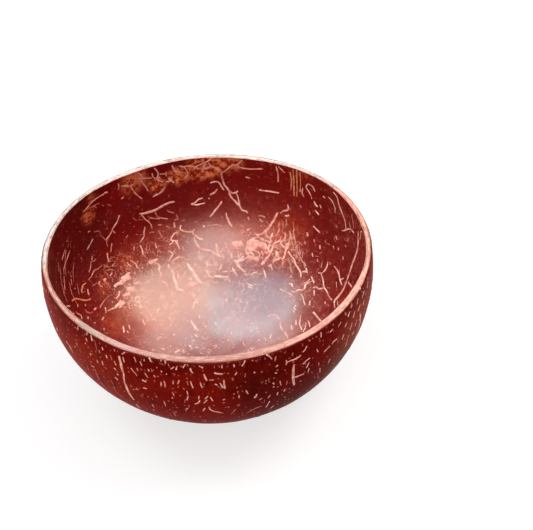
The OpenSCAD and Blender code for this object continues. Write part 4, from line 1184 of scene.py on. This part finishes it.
def new_flake(outline):
    """A plate that lies on the wall where the camera sees this outline of pixels."""
    flake = bmesh.new()
    flake.faces.new([flake.verts.new((x, y, 0)) for x, y in outline])
    middle = sum((corner.co for corner in flake.verts), Vector()) / len(outline)
    bmesh.ops.triangulate(flake, faces=flake.faces)
    bmesh.ops.subdivide_edges(flake, edges=flake.edges, cuts=CUTS, use_grid_fill=True)
    edge = {corner for side in flake.edges if side.is_boundary for corner in side.verts}
    for corner in flake.verts:
        ragged = Vector((noise.noise(corner.co * 0.9), noise.noise(corner.co * 0.8 + middle), 0))
        spot = corner.co + ragged * RAGGED_PX
        where, out, _, _ = surface.ray_cast(EYE, sight(spot.x, spot.y))
        high = MIDDLE_PROUD + UNEVEN * noise.noise(spot * 0.7)
        corner.co = where + out * (-EDGE_SUNK if corner in edge else high)
    back = bmesh.ops.extrude_face_region(flake, geom=flake.faces[:])["geom"]
    for corner in back:
        if isinstance(corner, bmesh.types.BMVert):
            corner.co -= surface.find_nearest(corner.co)[1] * FLAKE_DEPTH
    bmesh.ops.recalc_face_normals(flake, faces=flake.faces)
    return flake


flakes = bmesh.new()
for outline in FLAKES:
    flake = new_flake(outline)
    one_mesh = bpy.data.meshes.new("one_flake")
    flake.to_mesh(one_mesh)
    flakes.from_mesh(one_mesh)
    bpy.data.meshes.remove(one_mesh)
    flake.free()
for face in flakes.faces:
    face.smooth = True
flake_mesh = bpy.data.meshes.new("skin_flakes_thin")
flakes.to_mesh(flake_mesh)
flake_mesh.materials.append(flake_finish)
thin_flakes = bpy.data.objects.new("skin_flakes_thin", flake_mesh)
bpy.context.scene.collection.objects.link(thin_flakes)
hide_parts("skin_flakes")
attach(thin_flakes, "root")
print("faces of the flakes:", len(flake_mesh.polygons))

# %% [markdown]
# ## Floor and light
# The bowl stands on a plain pale floor that glows a little to the camera, so that it
# reads as white and still holds a soft shadow. Three soft lamps light the colours. The
# broad satin shine in the cavity mirrors lamps overhead that only glossy rays see, so
# the colours keep their own strength. A warm one on the right shows at the left of the
# cavity, a cool one on the left shows at its right, and paler ones fill in between and
# round them. Dim amber lamps, lower at the sides, let the shine fade into the red.
# Overhead the sky is nearly dark to glossy rays, so that only the lamps are mirrored.

# %% The floor
FLOOR_REACH, FLOOR_DROP, FLOOR_GREY, GLOW = 3, 0.0001, 0.52, 0.62


def direct_rays(paint, ray):
    """1 on rays from the camera, off a shiny face or through a clear body, and else 0."""
    return (Value(paint, ray["Is Camera Ray"]) + Value(paint, ray["Is Glossy Ray"])
            + Value(paint, ray["Is Transmission Ray"]))


sheet = bmesh.new()
bmesh.ops.create_grid(sheet, x_segments=1, y_segments=1, size=FLOOR_REACH)
bmesh.ops.translate(sheet, verts=sheet.verts, vec=(0, 0, -FLOOR_DROP))
floor_mesh = bpy.data.meshes.new("floor")
sheet.to_mesh(floor_mesh)
floor = bpy.data.objects.new("floor", floor_mesh)
bpy.context.scene.collection.objects.link(floor)
paint = Paint(bpy.data.materials.new("pale_floor"))
shown_to = direct_rays(paint, paint.node("LightPath").outputs)
body = paint.node("BsdfDiffuse", {}, {"Color": (FLOOR_GREY, FLOOR_GREY, FLOOR_GREY, 1)})
glow = paint.node("Emission", {}, {"Strength": shown_to * GLOW})
both = paint.node("AddShader", {}, {0: body.outputs[0], 1: glow.outputs[0]})
paint.tree.links.new(both.outputs[0], paint.node("OutputMaterial").inputs[0])
floor_mesh.materials.append(paint.owner)
print("floor:", floor.name, "grey:", FLOOR_GREY)

# %% The lamps
LAMPS_AIM = Vector((0, 0, 0.03))


def softbox(name, where, size, power, colour, shine_only=False):
    """A soft lamp of that power in W, aimed at the bowl, that may only shine."""
    lamp = bpy.data.lights.new(name, "AREA")
    lamp.shape, lamp.size, lamp.size_y = "ELLIPSE", *size
    lamp.energy, lamp.color = power, colour
    box = bpy.data.objects.new(name, lamp)
    turn = (LAMPS_AIM - Vector(where)).to_track_quat("-Z", "Y").to_matrix().to_4x4()
    box.matrix_world = Matrix.Translation(where) @ turn
    box.visible_camera = False
    if shine_only:
        box.visible_diffuse = False
    else:
        box.visible_glossy = False
    bpy.context.scene.collection.objects.link(box)


softbox("warm_softbox", (0.7, 0.2, 1.0), (0.7, 0.7), 5.0, (1.0, 0.96, 0.92))
softbox("cool_softbox", (-0.7, 0.3, 0.9), (0.6, 0.6), 2.6, (0.93, 0.97, 1.0))
softbox("front_softbox", (-0.7, -1.1, 0.6), (0.8, 0.6), 4.2, (1.0, 0.97, 0.94))
softbox("warm_shine", (0.36, -0.04, 0.95), (0.96, 1.0), 88.0, (0.90, 1.0, 0.80), True)
softbox("cool_shine", (-0.37, 0.22, 0.95), (1.0, 1.0), 94.0, (0.34, 0.87, 1.0), True)
softbox("broad_shine", (-0.02, 0.05, 1.0), (1.9, 1.9), 34.0, (0.84, 0.95, 0.88), True)
softbox("rear_shine", (0.0, 0.80, 0.88), (1.3, 0.9), 78.0, (0.74, 1.0, 0.92), True)
softbox("front_shine", (-0.08, -0.87, 0.93), (1.1, 1.1), 92.0, (0.84, 1.0, 0.91), True)
softbox("right_ember", (0.68, 0.52, 0.80), (1.2, 0.9), 31.0, (1.0, 0.26, 0.06), True)
softbox("side_ember", (0.85, -0.70, 0.58), (1.1, 0.7), 16.0, (1.0, 0.24, 0.08), True)
softbox("left_ember", (-0.84, 0.68, 0.62), (1.1, 0.9), 42.0, (1.0, 0.80, 0.55), True)
softbox("corner_ember", (-0.80, -0.74, 0.50), (1.3, 0.9), 47.0, (1.0, 0.60, 0.44), True)
softbox("front_ember", (-0.06, -1.2, 0.52), (1.7, 0.6), 19.0, (1.0, 0.58, 0.36), True)
print("lamps:", sorted(lamp.name for lamp in bpy.data.lights))

# %% The sky
WHITE, SKY_LIGHT, MIRRORED_DARK = (1, 1, 1, 1), 0.62, 0.97
sky = Paint(bpy.data.worlds.new("studio"))
bpy.context.scene.world = sky.owner
ray = sky.node("LightPath").outputs
up = sky.along(sky.node("TexCoord").outputs["Generated"], "Z")
overhead = sky.step(up, 0.02, 0.14)
brightness = 1 - overhead * Value(sky, ray["Is Glossy Ray"]) * MIRRORED_DARK
plain = sky.node("Background", {}, {"Color": WHITE, "Strength": SKY_LIGHT})
shown = sky.node("Background", {}, {"Color": WHITE, "Strength": brightness})
either = sky.node("MixShader", {}, {0: direct_rays(sky, ray), 1: plain.outputs[0],
                                    2: shown.outputs[0]})
sky.tree.links.new(either.outputs[0], sky.node("OutputWorld").inputs[0])
bpy.context.scene.view_settings.view_transform = "Standard"
print("sky's light on the bowl:", SKY_LIGHT)

# %% [markdown]
# ## The size, and the end
# The dressed bowl mustn't be larger than the solids.
